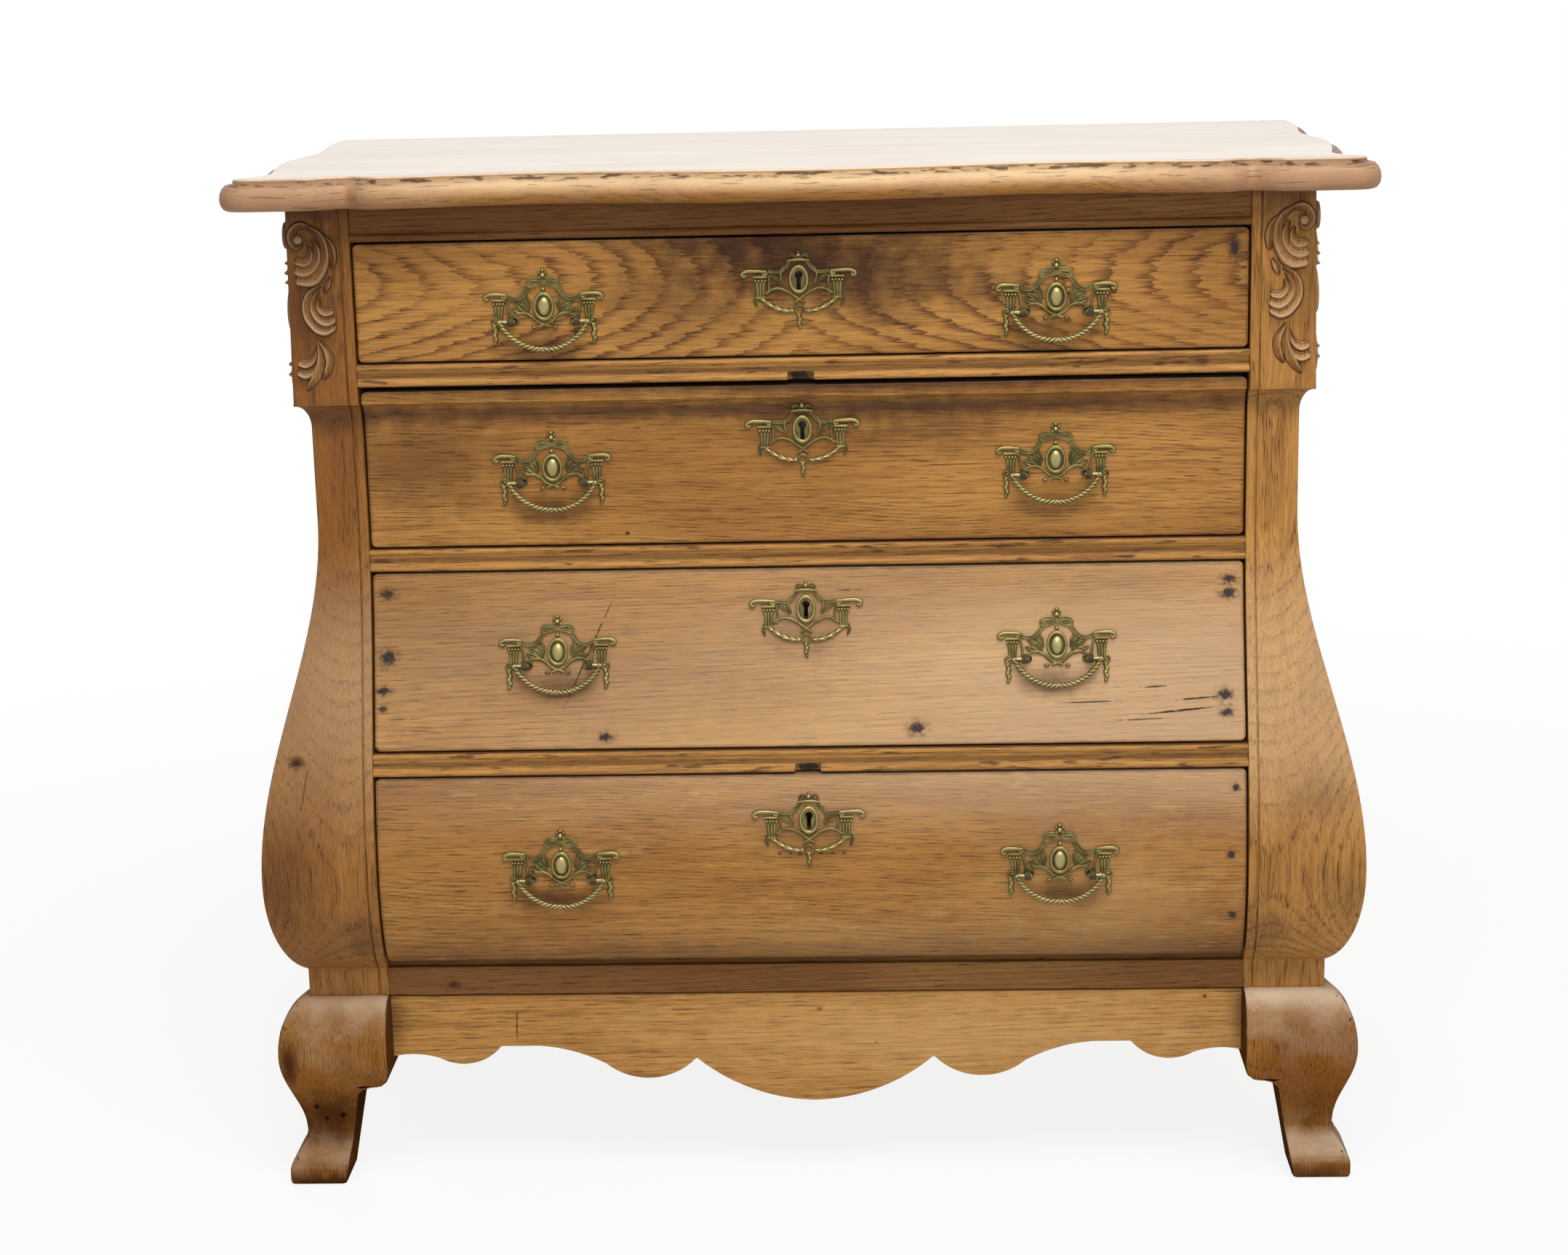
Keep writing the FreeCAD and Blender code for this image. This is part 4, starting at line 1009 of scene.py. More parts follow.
RIGHT_POST_MARKS = [
    ("patina_and_shade", 395, 230, 40, 40, 0, 0.4),
    ("patina_and_shade", 440, 350, 40, 40, 0, 0.25),
    # Painted shade: the next four marks darken the block under the top's overhang, the cove under the block and
    # the outer flank of the swell
    ("patina_and_shade", 425, 800, 34, 80, 0, 0.35),
    ("patina_and_shade", 412, 874, 90, 52, 0, 0.75),
    ("patina_and_shade", 412, 690, 70, 20, 0, 0.35),
    ("patina_and_shade", 470, 270, 50, 70, 0, 0.35),
    ("patina_and_shade", 410, 188, 60, 18, 0, 0.3),
]
LEFT_FOOT_MARKS = [
    ("patina_and_shade", -469, 117, 12, 30, 0, 0.85),
    ("patina_and_shade", -440, 62, 70, 44, 0, 0.8),
    ("patina_and_shade", -440, 0, 90, 17, 0, 0.9),
    ("hole", -472, 70, 4, 3.5, 0, 0.9),
    ("hole", -449, 72, 3.2, 4, 0, 0.9),
    ("hole", -441, 59, 3, 2.2, 0, 0.85),
    ("hole", -426, 62, 4, 3.4, 0, 0.9),
]
RIGHT_FOOT_MARKS = [
    ("patina_and_shade", 448, 60, 40, 40, 0, 0.3),
    ("patina_and_shade", 440, 0, 90, 17, 0, 0.8),
]


# How each drawer's front was cut from its log
FRONT_CUTS = {
    1: {"drift": 0.0, "crown": 0.2, "sway": 0.03, "spacing": 0.0072, "jag": 0.9, "lines": 0.8, "tone": 0.25},
    2: {"drift": 0.03, "sway": 0.02, "spacing": 0.0021, "lines": 0.3, "rays": 0.12, "tone": 0.42},
    3: {"drift": 0.02, "sway": 0.014, "spacing": 0.0019, "lines": 0.26, "rays": 0.1, "tone": 0.3},
    4: {"drift": 0.03, "sway": 0.018, "spacing": 0.0021, "lines": 0.3, "rays": 0.25, "tone": 0.52},
}
FRONT_HEARTS = {1: (0.014, 0.13), 2: (0.30, 0.40), 3: (-0.34, 0.35), 4: (0.26, 0.30)}

# Seed, tone and marks of the posts and feet
POST_CUTS = {"left": (5.3, 0.76, LEFT_POST_MARKS), "right": (7.9, 0.02, RIGHT_POST_MARKS)}
FOOT_CUTS = {"left": (9.1, 1.0, LEFT_FOOT_MARKS), "right": (11.7, 0.9, RIGHT_FOOT_MARKS)}
REAR_CUTS = {"left": (13.2, 0.4, []), "right": (15.8, 0.4, [])}

# Boards of a drawer's box: finish, axes of its grain and place of the log's heart, metres
BOX_BOARDS = {
    "sides": ("side_oak", "YZX", (0.2, 0.1)),
    "back": ("back_oak", "XZY", (0.2, 0.4)),
    "bottom": ("bottom_oak", "XYZ", (0.2, 0.1)),
}

# Wear of each kind of piece, beside the worn edge that is set
POST_WEAR = 0.6
FOOT_WEAR = 2.8
PANEL_WEAR = 0.6
RAIL_WEAR = 0.5
BOX_WEAR = 0.7


def front_oak(number):
    low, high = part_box(f"drawer_{number}_front")
    rise, depth = FRONT_HEARTS[number]
    heart = ((low.z + high.z) / 2 + rise, high.y - 0.02 + depth)
    graph = Oak(f"drawer_{number}_oak", "XZY", heart, 1.7 * number, **FRONT_CUTS[number])
    # Painted sheen on what leans up, more to the right
    graph.painted_sheen(0.4, 1.5)
    graph.marks(DRAWER_MARKS[number])
    graph.border(low, high, 3.5 * MM, 0.55)
    return graph.close()


def post_oak(name, side, seed, tone, marks):
    heart = (side * 0.40, -0.13)
    graph = Oak(name, "ZXY", heart, seed, spacing=0.0044, jag=0.4, lines=0.3, tone=tone)
    # Painted sheen on what faces upwards, more to the right
    graph.painted_sheen(0.26, 0.4)
    graph.marks(marks)
    return graph.close()


def foot_oak(name, side, seed, tone, marks):
    heart = (side * 3.0, 0.0)
    cut = {"drift": 0.0, "sway": 0.006, "spacing": 0.0026, "lines": 0.3, "streaks": 0.45}
    graph = Oak(name, "ZXY", heart, seed, tone=tone, **cut)
    # Painted sheen on what faces upwards, more to the right
    graph.painted_sheen(0.3, 0.6, 0.0, 0.7)
    sideways, _, upward = graph.facing()
    rubbed = graph.patches(graph.place, (30, 30, 40), 4.0, 0.4, 0.62)
    # Paler rubbed patches on all but the downward faces, then painted sheen on the up-facing knees, more on the
    # right foot
    graph.cover(rubbed * graph.smooth(upward, -0.5, 0.4) * 0.12, graph.finish.bleached_and_sheen)
    graph.cover(graph.smooth(upward, 0.35, 0.85) * (0.22 + side * 0.08), graph.finish.bleached_and_sheen)
    # Painted shade on the inner side of the foot, which faces away from the light
    graph.cover(graph.smooth(sideways * -side, 0.4, 0.8) * 0.7, graph.finish.patina_and_shade)
    graph.marks(marks)
    return graph.close(gloss=0.0)


def rail_oak(name, seed, level, tone, marks=(), dark=0.0, rays=0.0):
    graph = Oak(name, "XZY", (level - 0.2, 0.15), seed, spacing=0.0022, lines=0.3, rays=rays, tone=tone)
    graph.marks(marks)
    # dark paints the whole rail darker: painted shade, under the top's overhang on the frieze and under the bottom
    # drawer's swell on the base rail
    if dark:
        graph.cover(dark, graph.finish.patina_and_shade)
    return graph.close()


def moulding_oak(node, seed, marks):
    """Oak of a drawer rail: golden on its two beads, darker between and under them: painted shade, with old
    polish, in the quirk between the beads and along its top and bottom edges.
    """
    low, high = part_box(node)
    graph = Oak(f"{node}_oak", "XZY", (low.z - 0.2, 0.15), seed, spacing=0.0022, lines=0.3, tone=0.05)
    off = graph.maths("ABSOLUTE", graph.z - (low.z + high.z) / 2) + graph.ragged * 0.001
    # Painted shade, with old polish, in the quirk between the beads and along the rail's top and bottom edges
    quirk = graph.smooth(off, 3.8 * MM, 1.2 * MM)
    graph.cover(quirk * 0.6, graph.finish.patina_and_shade)
    rim = graph.smooth(off, 8.4 * MM, 10.0 * MM)
    graph.cover(rim * 0.8, graph.finish.patina_and_shade)
    nicks = graph.patches(graph.place, (26, 150, 150), 3.0, 0.60, 0.68)
    graph.cover(nicks * 0.7, graph.finish.patina_and_shade)
    graph.height = graph.height - nicks * 1.5
    graph.marks(marks)
    return graph.close()


def eased(share):
    share = max(0.0, min(1.0, share))
    return share * share * (3 - 2 * share)


def slim_shoulder(piece):
    """Draws in the outer shoulder of a foot towards the back, behind the neck that stands on it."""
    neck_front = BLOCK_FACE - NECK_REACH
    neck_edge = BLOCK_HALF_WIDTH + NECK_REACH
    for cut in range(SHOULDER_CUTS):
        behind = cut * SHOULDER_FADE / (SHOULDER_CUTS - 1)
        bpy.ops.mesh.select_all(action="SELECT")
        bpy.ops.mesh.bisect(plane_co=(0, neck_front + behind, 0), plane_no=(0, 1, 0))
    object_mode()
    for vertex in piece.data.vertices:
        out = abs(vertex.co.x) - neck_edge
        if out > 0:
            back = eased((vertex.co.y - neck_front) / SHOULDER_FADE)
            above = eased((vertex.co.z - ANKLE) / SHOULDER_FADE)
            kept = neck_edge + out * (1 - SHOULDER_DRAW * back * above)
            vertex.co.x = math.copysign(kept, vertex.co.x)
    edit_mode()


# Operators
class CHEST_OT_top(bpy.types.Operator):
    """Makes the two worn boards of the top"""

    bl_idname = "chest.top"
    bl_label = "Top"

    def execute(self, context):
        wooden("top_front_board", TOP_EDGE, top_oak("top_front_oak", 0.4))
        wooden("top_rear_board", TOP_EDGE, top_oak("top_rear_oak", 3.1))
        return {"FINISHED"}


class CHEST_OT_posts(bpy.types.Operator):
    """Makes the posts and the cabriole feet"""

    bl_idname = "chest.posts"
    bl_label = "Posts and feet"

    def execute(self, context):
        edge = context.scene.chest.oak.edge
        for name, side in SIDES:
            oak = post_oak(f"{name}_post_oak", side, *POST_CUTS[name])
            wooden(f"front_{name}_post", edge * POST_WEAR, oak, spared=QUIRK)
        for name, side in SIDES:
            oak = foot_oak(f"{name}_foot_oak", side, *FOOT_CUTS[name])
            wooden(f"front_{name}_foot", edge * FOOT_WEAR, oak, carve=slim_shoulder)
        for name, side in SIDES:
            oak = post_oak(f"rear_{name}_oak", side, *REAR_CUTS[name])
            wooden(f"rear_{name}_post", edge, oak)
        return {"FINISHED"}


def plank_back():
    """Nails up the back from upright boards with worn edges and open joints."""
    low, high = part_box("back_boards")
    width = (high.x - low.x) / BACK_BOARDS
    middle = (low + high) / 2
    size = high - low
    boards = []
    for index in range(BACK_BOARDS):
        across = low.x + width * (index + 0.5)
        board = box((width - BACK_JOINT, size.y, size.z), (across, middle.y, middle.z))
        soften(board, 1.6)
        nails = []
        for offset in (-NAIL_SPREAD, NAIL_SPREAD):
            for level in (low.z + NAIL_INSET, high.z - NAIL_INSET):
                nails.append(("nail", (across + offset * width) / MM, level / MM, 3, 3, 0, 0.8))
        heart = (across + 0.12 * math.sin(index * 2.0), high.y + 0.1)
        oak = raw_oak(f"back_board_{index + 1}_oak", "ZXY", heart, 31.0 + index * 1.7, nails)
        board.data.materials.append(oak)
        boards.append(board)
    back = joined(boards, "back_boards_nailed", SHARP_DEGREES)
    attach(back, NODE_BODY["back_boards"])
    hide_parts("back_boards")


class CHEST_OT_sides(bpy.types.Operator):
    """Makes the swelling side panels, the back boards and the bottom"""

    bl_idname = "chest.sides"
    bl_label = "Sides, back and bottom"

    def execute(self, context):
        edge = context.scene.chest.oak.edge * PANEL_WEAR
        for (name, side), seed in zip(SIDES, (21.3, 23.9)):
            heart = (0.06, side * 0.30)
            graph = Oak(f"{name}_side_oak", "ZYX", heart, seed, drift=0.03, sway=0.02, lines=0.5)
            wooden(f"{name}_side_panel", edge, graph.close())
        plank_back()
        wooden("bottom_board", edge, raw_oak("bottom_oak", "XYZ", (0.1, 0.5), 33.0))
        return {"FINISHED"}


class CHEST_OT_rails(bpy.types.Operator):
    """Makes the frieze, the moulded rails, the base rail and the scalloped apron"""

    bl_idname = "chest.rails"
    bl_label = "Rails and apron"

    def execute(self, context):
        edge = context.scene.chest.oak.edge
        # The frieze is painted darker as shade under the top's overhang
        wooden("top_rail", edge * RAIL_WEAR, rail_oak("frieze_oak", 41.0, 0.85, 0.6, dark=0.5))
        for number in (1, 2, 3):
            node = f"drawer_rail_{number}"
            notch = [("hole", 0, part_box(node)[0].z / MM + 3, 14, 6, 0, 0.95)]
            oak = moulding_oak(node, 43.0 + number, [] if number == 2 else notch)
            wooden(node, edge * RAIL_WEAR, oak)
        # The base rail is painted darker as shade under the bottom drawer's swell
        base_oak = rail_oak("base_rail_oak", 51.0, 0.19, 0.6, BASE_RAIL_MARKS, 0.42)
        wooden("base_rail", edge * RAIL_WEAR, base_oak)
        wooden("front_apron", edge, rail_oak("apron_oak", 53.0, 0.14, 0.02, APRON_MARKS, rays=0.35))
        return {"FINISHED"}


class CHEST_OT_drawer_fronts(bpy.types.Operator):
    """Makes the four drawer fronts with their figure and their old marks"""

    bl_idname = "chest.drawer_fronts"
    bl_label = "Drawer fronts"

    def execute(self, context):
        edge = context.scene.chest.oak.edge
        for number in DRAWERS:
            holes = [(0.0, KEY_HEIGHTS[number - 1], KEYHOLE_CLEARANCE)]
            stud_level = JOINTS[f"drawer_{number}_left_bail_hinge"]["pos_m"][2]
            for _, side in SIDES:
                for offset in (-STUD_OFFSET, STUD_OFFSET):
                    holes.append((side * HANDLE_OFFSET + offset, stud_level, STUD_CLEARANCE))
            wooden(f"drawer_{number}_front", edge, front_oak(number), holes=holes)
        return {"FINISHED"}


class CHEST_OT_drawer_boxes(bpy.types.Operator):
    """Makes the drawers' sides, backs and bottoms and the runners they slide on"""

    bl_idname = "chest.drawer_boxes"
    bl_label = "Drawer boxes and runners"

    def execute(self, context):
        edge = context.scene.chest.oak.edge * BOX_WEAR
        for number in DRAWERS:
            for index, (part, (finish, order, heart)) in enumerate(BOX_BOARDS.items()):
                oak = raw_oak(f"drawer_{number}_{finish}", order, heart, 60.0 + number + 10 * index)
                wooden(f"drawer_{number}_{part}", edge, oak)
        runners = raw_oak("runner_oak", "YXZ", (0.3, 0.2), 95.0)
        wooden("drawer_runners", edge, runners)
        wooden("top_kickers", edge, runners)
        return {"FINISHED"}


# Lobes of the carved leaves: path inwards and down from the block's outer top corner, half widths, rim's side
CARVED_LOBES = [
    ([(26.5, 21), (36, 29.5), (39.4, 40), (39, 51)], [1.4, 2.6, 3.0, 1.6], "left"),
    (
        [(19, 16.5), (28, 23.5), (32.6, 37), (29.6, 52), (21.5, 61.5), (9, 61.4)],
        [2.0, 3.0, 3.4, 4.0, 4.4, 3.8],
        "left",
    ),
    ([(22.5, 27), (26, 38.5), (23, 48.8), (15.5, 54), (8, 53)], [1.4, 3.2, 3.8, 4.2, 3.6], "left"),
    ([(18.5, 32), (19.6, 41), (16, 46), (8.5, 45)], [1.2, 3.0, 3.6, 3.2], "left"),
    (
        [(19, 16.5), (11, 15.6), (5.6, 21), (5.4, 29), (10, 33), (13, 29.5)],
        [2.4, 3.0, 3.2, 3.0, 2.4, 1.6],
        "right",
    ),
    ([(37, 58.5), (33.5, 66), (31.2, 72)], [1.4, 2.8, 1.2], "left"),
    (
        [(27.5, 66), (18, 74), (15, 86.5), (20, 98), (29.5, 104.4), (37.6, 101.6)],
        [1.6, 2.8, 3.4, 3.8, 4.0, 3.2],
        "right",
    ),
    ([(25.5, 71), (21, 81.5), (24.4, 92), (32, 96.8), (38, 95)], [1.4, 2.6, 3.6, 3.8, 3.2], "right"),
    ([(26.5, 76), (26, 84), (30.7, 88.6), (37, 88)], [1.2, 2.6, 3.4, 3.0], "right"),
    ([(25.2, 113), (33, 127), (31.5, 139), (27.6, 146)], [1.4, 3.2, 3.0, 1.4], "right"),
    ([(24.4, 113), (26, 129), (21, 144), (13, 155)], [1.6, 3.2, 3.8, 1.6], "right"),
    ([(22.7, 119), (18.9, 128.6), (13, 132.6), (7.5, 131)], [1.3, 2.8, 3.6, 3.2], "left"),
    ([(23.4, 127), (19.4, 137.4), (13, 141.4), (7, 139.6)], [1.3, 2.8, 3.8, 3.4], "left"),
]
SCROLL_EYE = (10.4, -27)
SCROLL_EYE_RADIUS = 4.2


def carved_lobe(path, radii, rim):
    """One lobe of a leaf: a raised rim on one side that falls into a hollow, with a rounded tip."""
    points = [Vector((inward, -down)) for inward, down in path]
    ahead = (points[-1] - points[-2]).normalized()
    points.append(points[-1] + ahead * (radii[-1] * 0.6))
    return strand(points, radii + [radii[-1] * 0.45], f"{rim}_rim", 0.7)


def carved_pattern():
    pieces = [ball(*SCROLL_EYE, SCROLL_EYE_RADIUS, 1.8)]
    pieces += [carved_lobe(path, radii, rim) for path, radii, rim in CARVED_LOBES]
    pattern = joined(pieces, "carving_pattern", 50)
    flat_relief(pattern, 4.5)
    return pattern


def carved_oak():
    graph = Oak("carved_oak", "ZXY", (0.35, -0.16), 17.3, sway=0.008, lines=0.25, streaks=0.2, tone=0.4)
    relief = graph.relief()
    # Painted sheen on what faces upwards
    graph.painted_sheen(0.16, 0.4)
    # Painted shade: the left block darker, where light falls from the right, and the top of the block under the
    # top's overhang
    shaded = graph.smooth(graph.x, 0.1, -0.1)
    shade_under_top = graph.smooth(graph.z, TOP_UNDERSIDE - 60 * MM, TOP_UNDERSIDE)
    graph.cover(graph.clamp(shaded * 0.34 + shade_under_top * 0.45), graph.finish.patina_and_shade)
    # Painted shade and dirt in the hollows round the leaves
    hollow = graph.smooth(relief + graph.fine * 0.1, 0.52, 0.28)
    graph.cover(hollow * 0.85, graph.finish.patina_and_shade)
    # The high rims painted paler with the sheen colour: rubbed wood and a painted highlight
    rubbed = graph.smooth(relief + graph.fine * 0.2, 0.62, 1.0)
    graph.cover(rubbed * 0.26, graph.finish.painted_sheen)
    return graph.close()


class CHEST_OT_carving(bpy.types.Operator):
    """Carves the scrolled leaves on the front and outer faces of both blocks"""

    bl_idname = "chest.carving"
    bl_label = "Carved blocks"

    def execute(self, context):
        sink = context.scene.chest.carving.sink
        pattern = carved_pattern()
        finish = carved_oak()
        for name, side in SIDES:

            def edge_at(down):
                return side * (BLOCK_HALF_WIDTH - BLOCK_TOP_SETBACK * (1 + down / BLOCK_HEIGHT))

            def on_front(point):
                across = edge_at(point.y) - side * point.x
                return Vector((across, BLOCK_FACE - point.z + sink, TOP_UNDERSIDE + point.y))

            def on_side(point):
                across = edge_at(point.y) + side * (point.z - sink)
                return Vector((across, BLOCK_FACE + point.x, TOP_UNDERSIDE + point.y))

            for face, to_world in (("front", on_front), ("side", on_side)):
                piece = copy_of(pattern, f"{name}_{face}_carving")
                move_points(piece, to_world)
                turn_outwards(piece)
                piece.data.materials.append(finish)
                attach(piece, "carcass")
        bpy.data.objects.remove(pattern)
        return {"FINISHED"}


def plate_ends(inner, outer, pilaster, level):
    """The scrolled capitals, bead rows and fluted pilasters at both ends of a plate."""
    pieces = []
    for _, side in SIDES:
        bar = [(inner, level + 1.5), ((inner + outer) / 2, level + 2.2), (outer - 2.5, level + 1.6)]
        bar += [(outer, level - 0.6), (outer - 2.2, level - 2.4), (outer - 3.6, level - 0.6)]
        pieces.append(strand(mirrored(side, *bar), [1.5, 1.9, 1.9, 1.8, 1.5, 1.1], lift=1.5))
        curl = [(inner + 4, level), (inner + 1, level - 1.2), (inner, level + 1.2)]
        pieces.append(strand(mirrored(side, *curl), [1.1, 1.4, 1.5], lift=1.5))
        cap = [(pilaster - 5.5, level - 3), (pilaster + 6, level - 3)]
        pieces.append(strand(mirrored(side, *cap), 1.5, lift=1.2))
        for step in range(4):
            pieces.append(ball(side * (pilaster - 4 + step * 2.7), level - 6, 1.35, 2.0))
        back = [(pilaster - 4.4, level - 7), (pilaster + 4.4, level - 7)]
        back += [(pilaster + 3.2, level - 20.5), (pilaster - 3.2, level - 20.5)]
        pieces.append(slab(mirrored(side, *back), 1.8))
        for step in (-1, 0, 1):
            flute = [(pilaster + step * 2.9, level - 7.4), (pilaster + step * 2.1, level - 20)]
            pieces.append(strand(mirrored(side, *flute), [1.15, 0.9], lift=1.7))
        foot = [(pilaster - 3.8, level - 20.6), (pilaster + 3.8, level - 20.6)]
        pieces.append(strand(mirrored(side, *foot), 1.2, lift=1.4))
    return pieces


def crest(level, width):
    """The bow and the rosette over the middle of a plate."""
    pieces = [ball(0, level + 7.6, 2.5, 1.8), ball(0, level + 11.8, 1.9, 1.6), ball(0, level - 4.2, 2.0, 1.6)]
    for _, side in SIDES:
        pieces.append(ball(side * 2.9, level + 5.4, 1.6, 1.5))
        pieces.append(ball(side * 2.7, level + 9.8, 1.5, 1.5))
        loop = [(0, level + 1.5), (width * 0.45, level + 4), (width * 0.95, level + 2.4)]
        loop += [(width, level - 0.6), (width * 0.5, level - 0.4), (0, level + 1)]
        pieces.append(strand(mirrored(side, *loop), [1.2, 1.8, 2.0, 1.8, 1.5, 1.1], "ribbon", 1.5))
    return pieces


def husks(x, level, sizes, pitch, sway, lift):
    """A drop of husks that stand by turns to the left and right of the line they hang on."""
    pieces = []
    for step, size in enumerate(sizes):
        off = sway if step % 2 else -sway
        pieces.append(ball(x + off, level - step * pitch, size, lift, (1, 1.25, 0.9)))
    return pieces


def tassel(x, level):
    """A ring with a drop of husks hanging from it."""
    loop = ring(x, level, 2.9, 0.9, 1.6, segments=16)
    return [loop] + husks(x, level - 4.6, (2.0, 2.3, 2.3, 2.1, 1.6), 3.4, 0.5, 1.4)


def knuckle(x, y):
    """The eye that carries one end of a bail: a short barrel across the plate on a stem."""
    place = in_metres(x, y, KNUCKLE_STANDOFF)
    barrel = cylinder(KNUCKLE_RADIUS * MM, KNUCKLE_WIDTH * MM, place, 20, ALONG_X)
    soften(barrel, 0.7)
    add = bpy.ops.mesh.primitive_cone_add
    sizes = {"radius1": STEM_FOOT * MM, "radius2": STEM_HEAD * MM, "depth": KNUCKLE_STANDOFF * MM}
    stem = primitive(add, in_metres(x, y, KNUCKLE_STANDOFF / 2), vertices=20, **sizes)
    return [barrel, stem]


# Sprigs of leaves inside a handle plate, from tip to foot, millimetres
HANDLE_SPRIGS = (
    [(20, 6.6), (16.4, 2.4), (13, -4.4)],
    [(25, 4.2), (19.8, 0.4), (13.4, -5.4)],
    [(27.6, -1.4), (21.4, -3.8), (14, -7.2)],
    [(15.4, 10.4), (13.8, 5), (11.8, -1.6)],
)


def handle_pattern():
    """The openwork plate of a handle about its oval's middle, standing up along Z, in millimetres."""
    pieces = [slab(oval_points(8.6, 11.8), 1.6)]
    pieces.append(ring(0, 0, 7.8, 1.25, 2.0, (1, 1.38, 1), 32))
    pieces.append(ball(0, 0, 5.6, 1.6, (1, 1.58, 0.62)))
    pieces += crest(19.0, 12.6)
    pieces += plate_ends(32.0, 50.0, 38.5, 8.5)
    for _, side in SIDES:
        tail = mirrored(side, (10, 18.4), (15, 12.5), (19, 8), (25, 6.4), (32.5, 9.4))
        pieces.append(strand(tail, [1.6, 1.9, 1.8, 1.7, 1.5], "ribbon", 1.2))
        stile = mirrored(side, (32.6, 7), (30.6, 0), (29.4, -8.5))
        pieces.append(strand(stile, [1.3, 1.1, 1.3], lift=1.2))
        pieces.append(ring(side * 25.2, -11.6, 2.7, 0.95, 1.2, segments=18))
        disc = [(x + side * 25.2, y - 11.6) for x, y in oval_points(2.4, 2.4, 14)]
        pieces.append(slab(disc, 0.6))
        for sprig in HANDLE_SPRIGS:
            pieces.append(strand(mirrored(side, *sprig), [0.8, 2.5, 1.1], "leaf", 1.0))
        spray = mirrored(side, (27, -8.4), (20, -5.6), (13, -7), (5, -13.6), (-5, -17.2))
        pieces.append(strand(spray, [1.0, 1.4, 1.5, 1.3, 1.4], lift=1.2))
        pieces.append(ball(side * 9, -17.6, 1.7, 1.2, (1.5, 0.8, 1)))
        pieces += knuckle(side * STUD_OFFSET / MM, -12)
        pieces += tassel(side * 42.2, -12.6)
        link = mirrored(side, (31, -12.5), (37, -14), (41, -12))
        pieces.append(strand(link, [1.2, 1.0, 1.2], lift=0.8))
    pattern = joined(pieces, "handle_pattern")
    flat_relief(pattern, 3.6)
    return pattern


def seated(height, x):
    """Bends a flat pattern onto the drawer's face, with its middle at a height and a place across."""
    lean = front_lean(height)

    def to_world(point):
        level = height + point.y * math.cos(lean)
        out = drawer_face(level) - point.z * math.cos(lean)
        return Vector((x + point.x, out, level + point.z * math.sin(lean)))

    return to_world


def stud_and_nut(x, level, front, back):
    """A screw stud through the drawer's front, with its square nut on the inside."""
    end = back + STUD_END
    stud = cylinder(STUD_RADIUS, end - front, (x, (end + front) / 2, level), 16, ALONG_Y)
    soften(stud, 0.5)
    nut = box((NUT_SIZE, NUT_THICKNESS, NUT_SIZE), (x, back + NUT_THICKNESS / 2, level))
    soften(nut, 0.7)
    return [stud, nut]


class CHEST_OT_handles(bpy.types.Operator):
    """Casts the openwork handle plates and sets two on each drawer"""

    bl_idname = "chest.handles"
    bl_label = "Handle plates"

    def execute(self, context):
        pattern = handle_pattern()
        finish = brass_finish()
        for number in DRAWERS:
            node = f"drawer_{number}_handle_plates"
            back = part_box(node)[1].y - STUD_END
            level = JOINTS[f"drawer_{number}_left_bail_hinge"]["pos_m"][2]
            front = drawer_face(level) - 1 * MM
            pieces = []
            for name, side in SIDES:
                middle = side * HANDLE_OFFSET
                plate = copy_of(pattern, f"{name}_plate")
                move_points(plate, seated(HANDLE_HEIGHTS[number - 1], middle))
                pieces.append(plate)
                for offset in (-STUD_OFFSET, STUD_OFFSET):
                    pieces += stud_and_nut(middle + offset, level, front, back)
            dress(joined(pieces, f"{node}_cast"), node, finish)
        bpy.data.objects.remove(pattern)
        return {"FINISHED"}


def bail_pattern():
    """A rope-twist bail about its pivot line, hanging down along -Y, in millimetres."""
    offset = PIVOT_OFFSET / MM
    drop = BAIL_DROP / MM
    radius = (offset**2 + drop**2) / (2 * drop)
    start = math.asin(offset / radius)

    def on_arc(angle):
        return radius * math.sin(angle), radius - drop - radius * math.cos(angle)

    arc = [on_arc(start * (1 - step / BAIL_STEPS)) for step in range(BAIL_STEPS + 1)]
    radii = [2.1] + [2.45] * BAIL_STEPS
    pieces = []
    for _, side in SIDES:
        pieces.append(strand(mirrored(side, *arc), radii, "rope", twist=side * ROPE_TWIST, smoothness=9))
        pieces.append(ball(side * offset, 0, ROPE_RADIUS))
        pieces.append(strand(mirrored(side, (offset, 0), (PIN_END, 0)), PIN_RADIUS))
    for step in (-1, 0, 1):
        pieces.append(ring(step * 1.7, -drop, 2.0, 0.5, 0.0, (0.45, 1, 1), 16))
    pattern = joined(pieces, "bail_pattern", 60)
    shares = []
    for vertex in pattern.data.vertices:
        point = vertex.co / MM
        middle = Vector((*on_arc(math.atan2(point.x, radius - drop - point.y)), 0))
        shares.append(((point - middle).length / ROPE_RADIUS - 0.6) / 0.3)
    keep_relief(pattern, shares)
    return pattern


class CHEST_OT_bails(bpy.types.Operator):
    """Twists the rope bails and hangs one in each handle plate"""

    bl_idname = "chest.bails"
    bl_label = "Bails"

    def execute(self, context):
        pattern = bail_pattern()
        finish = bpy.data.materials["cast_brass"]
        for number in DRAWERS:
            lean = front_lean(HANDLE_HEIGHTS[number - 1])
            swing = lean - min(lean, BAIL_STOP)
            turn = Matrix.Rotation(-swing, 3, "X")
            for name, _ in SIDES:
                node = f"drawer_{number}_{name}_bail"
                pivot = Vector(JOINTS[f"{node}_hinge"]["pos_m"])

                def hung(point):
                    return pivot + turn @ Vector((point.x, -point.z, point.y))

                bail = copy_of(pattern, f"{node}_rope")
                move_points(bail, hung)
                turn_outwards(bail)
                dress(bail, node, finish)
        bpy.data.objects.remove(pattern)
        return {"FINISHED"}


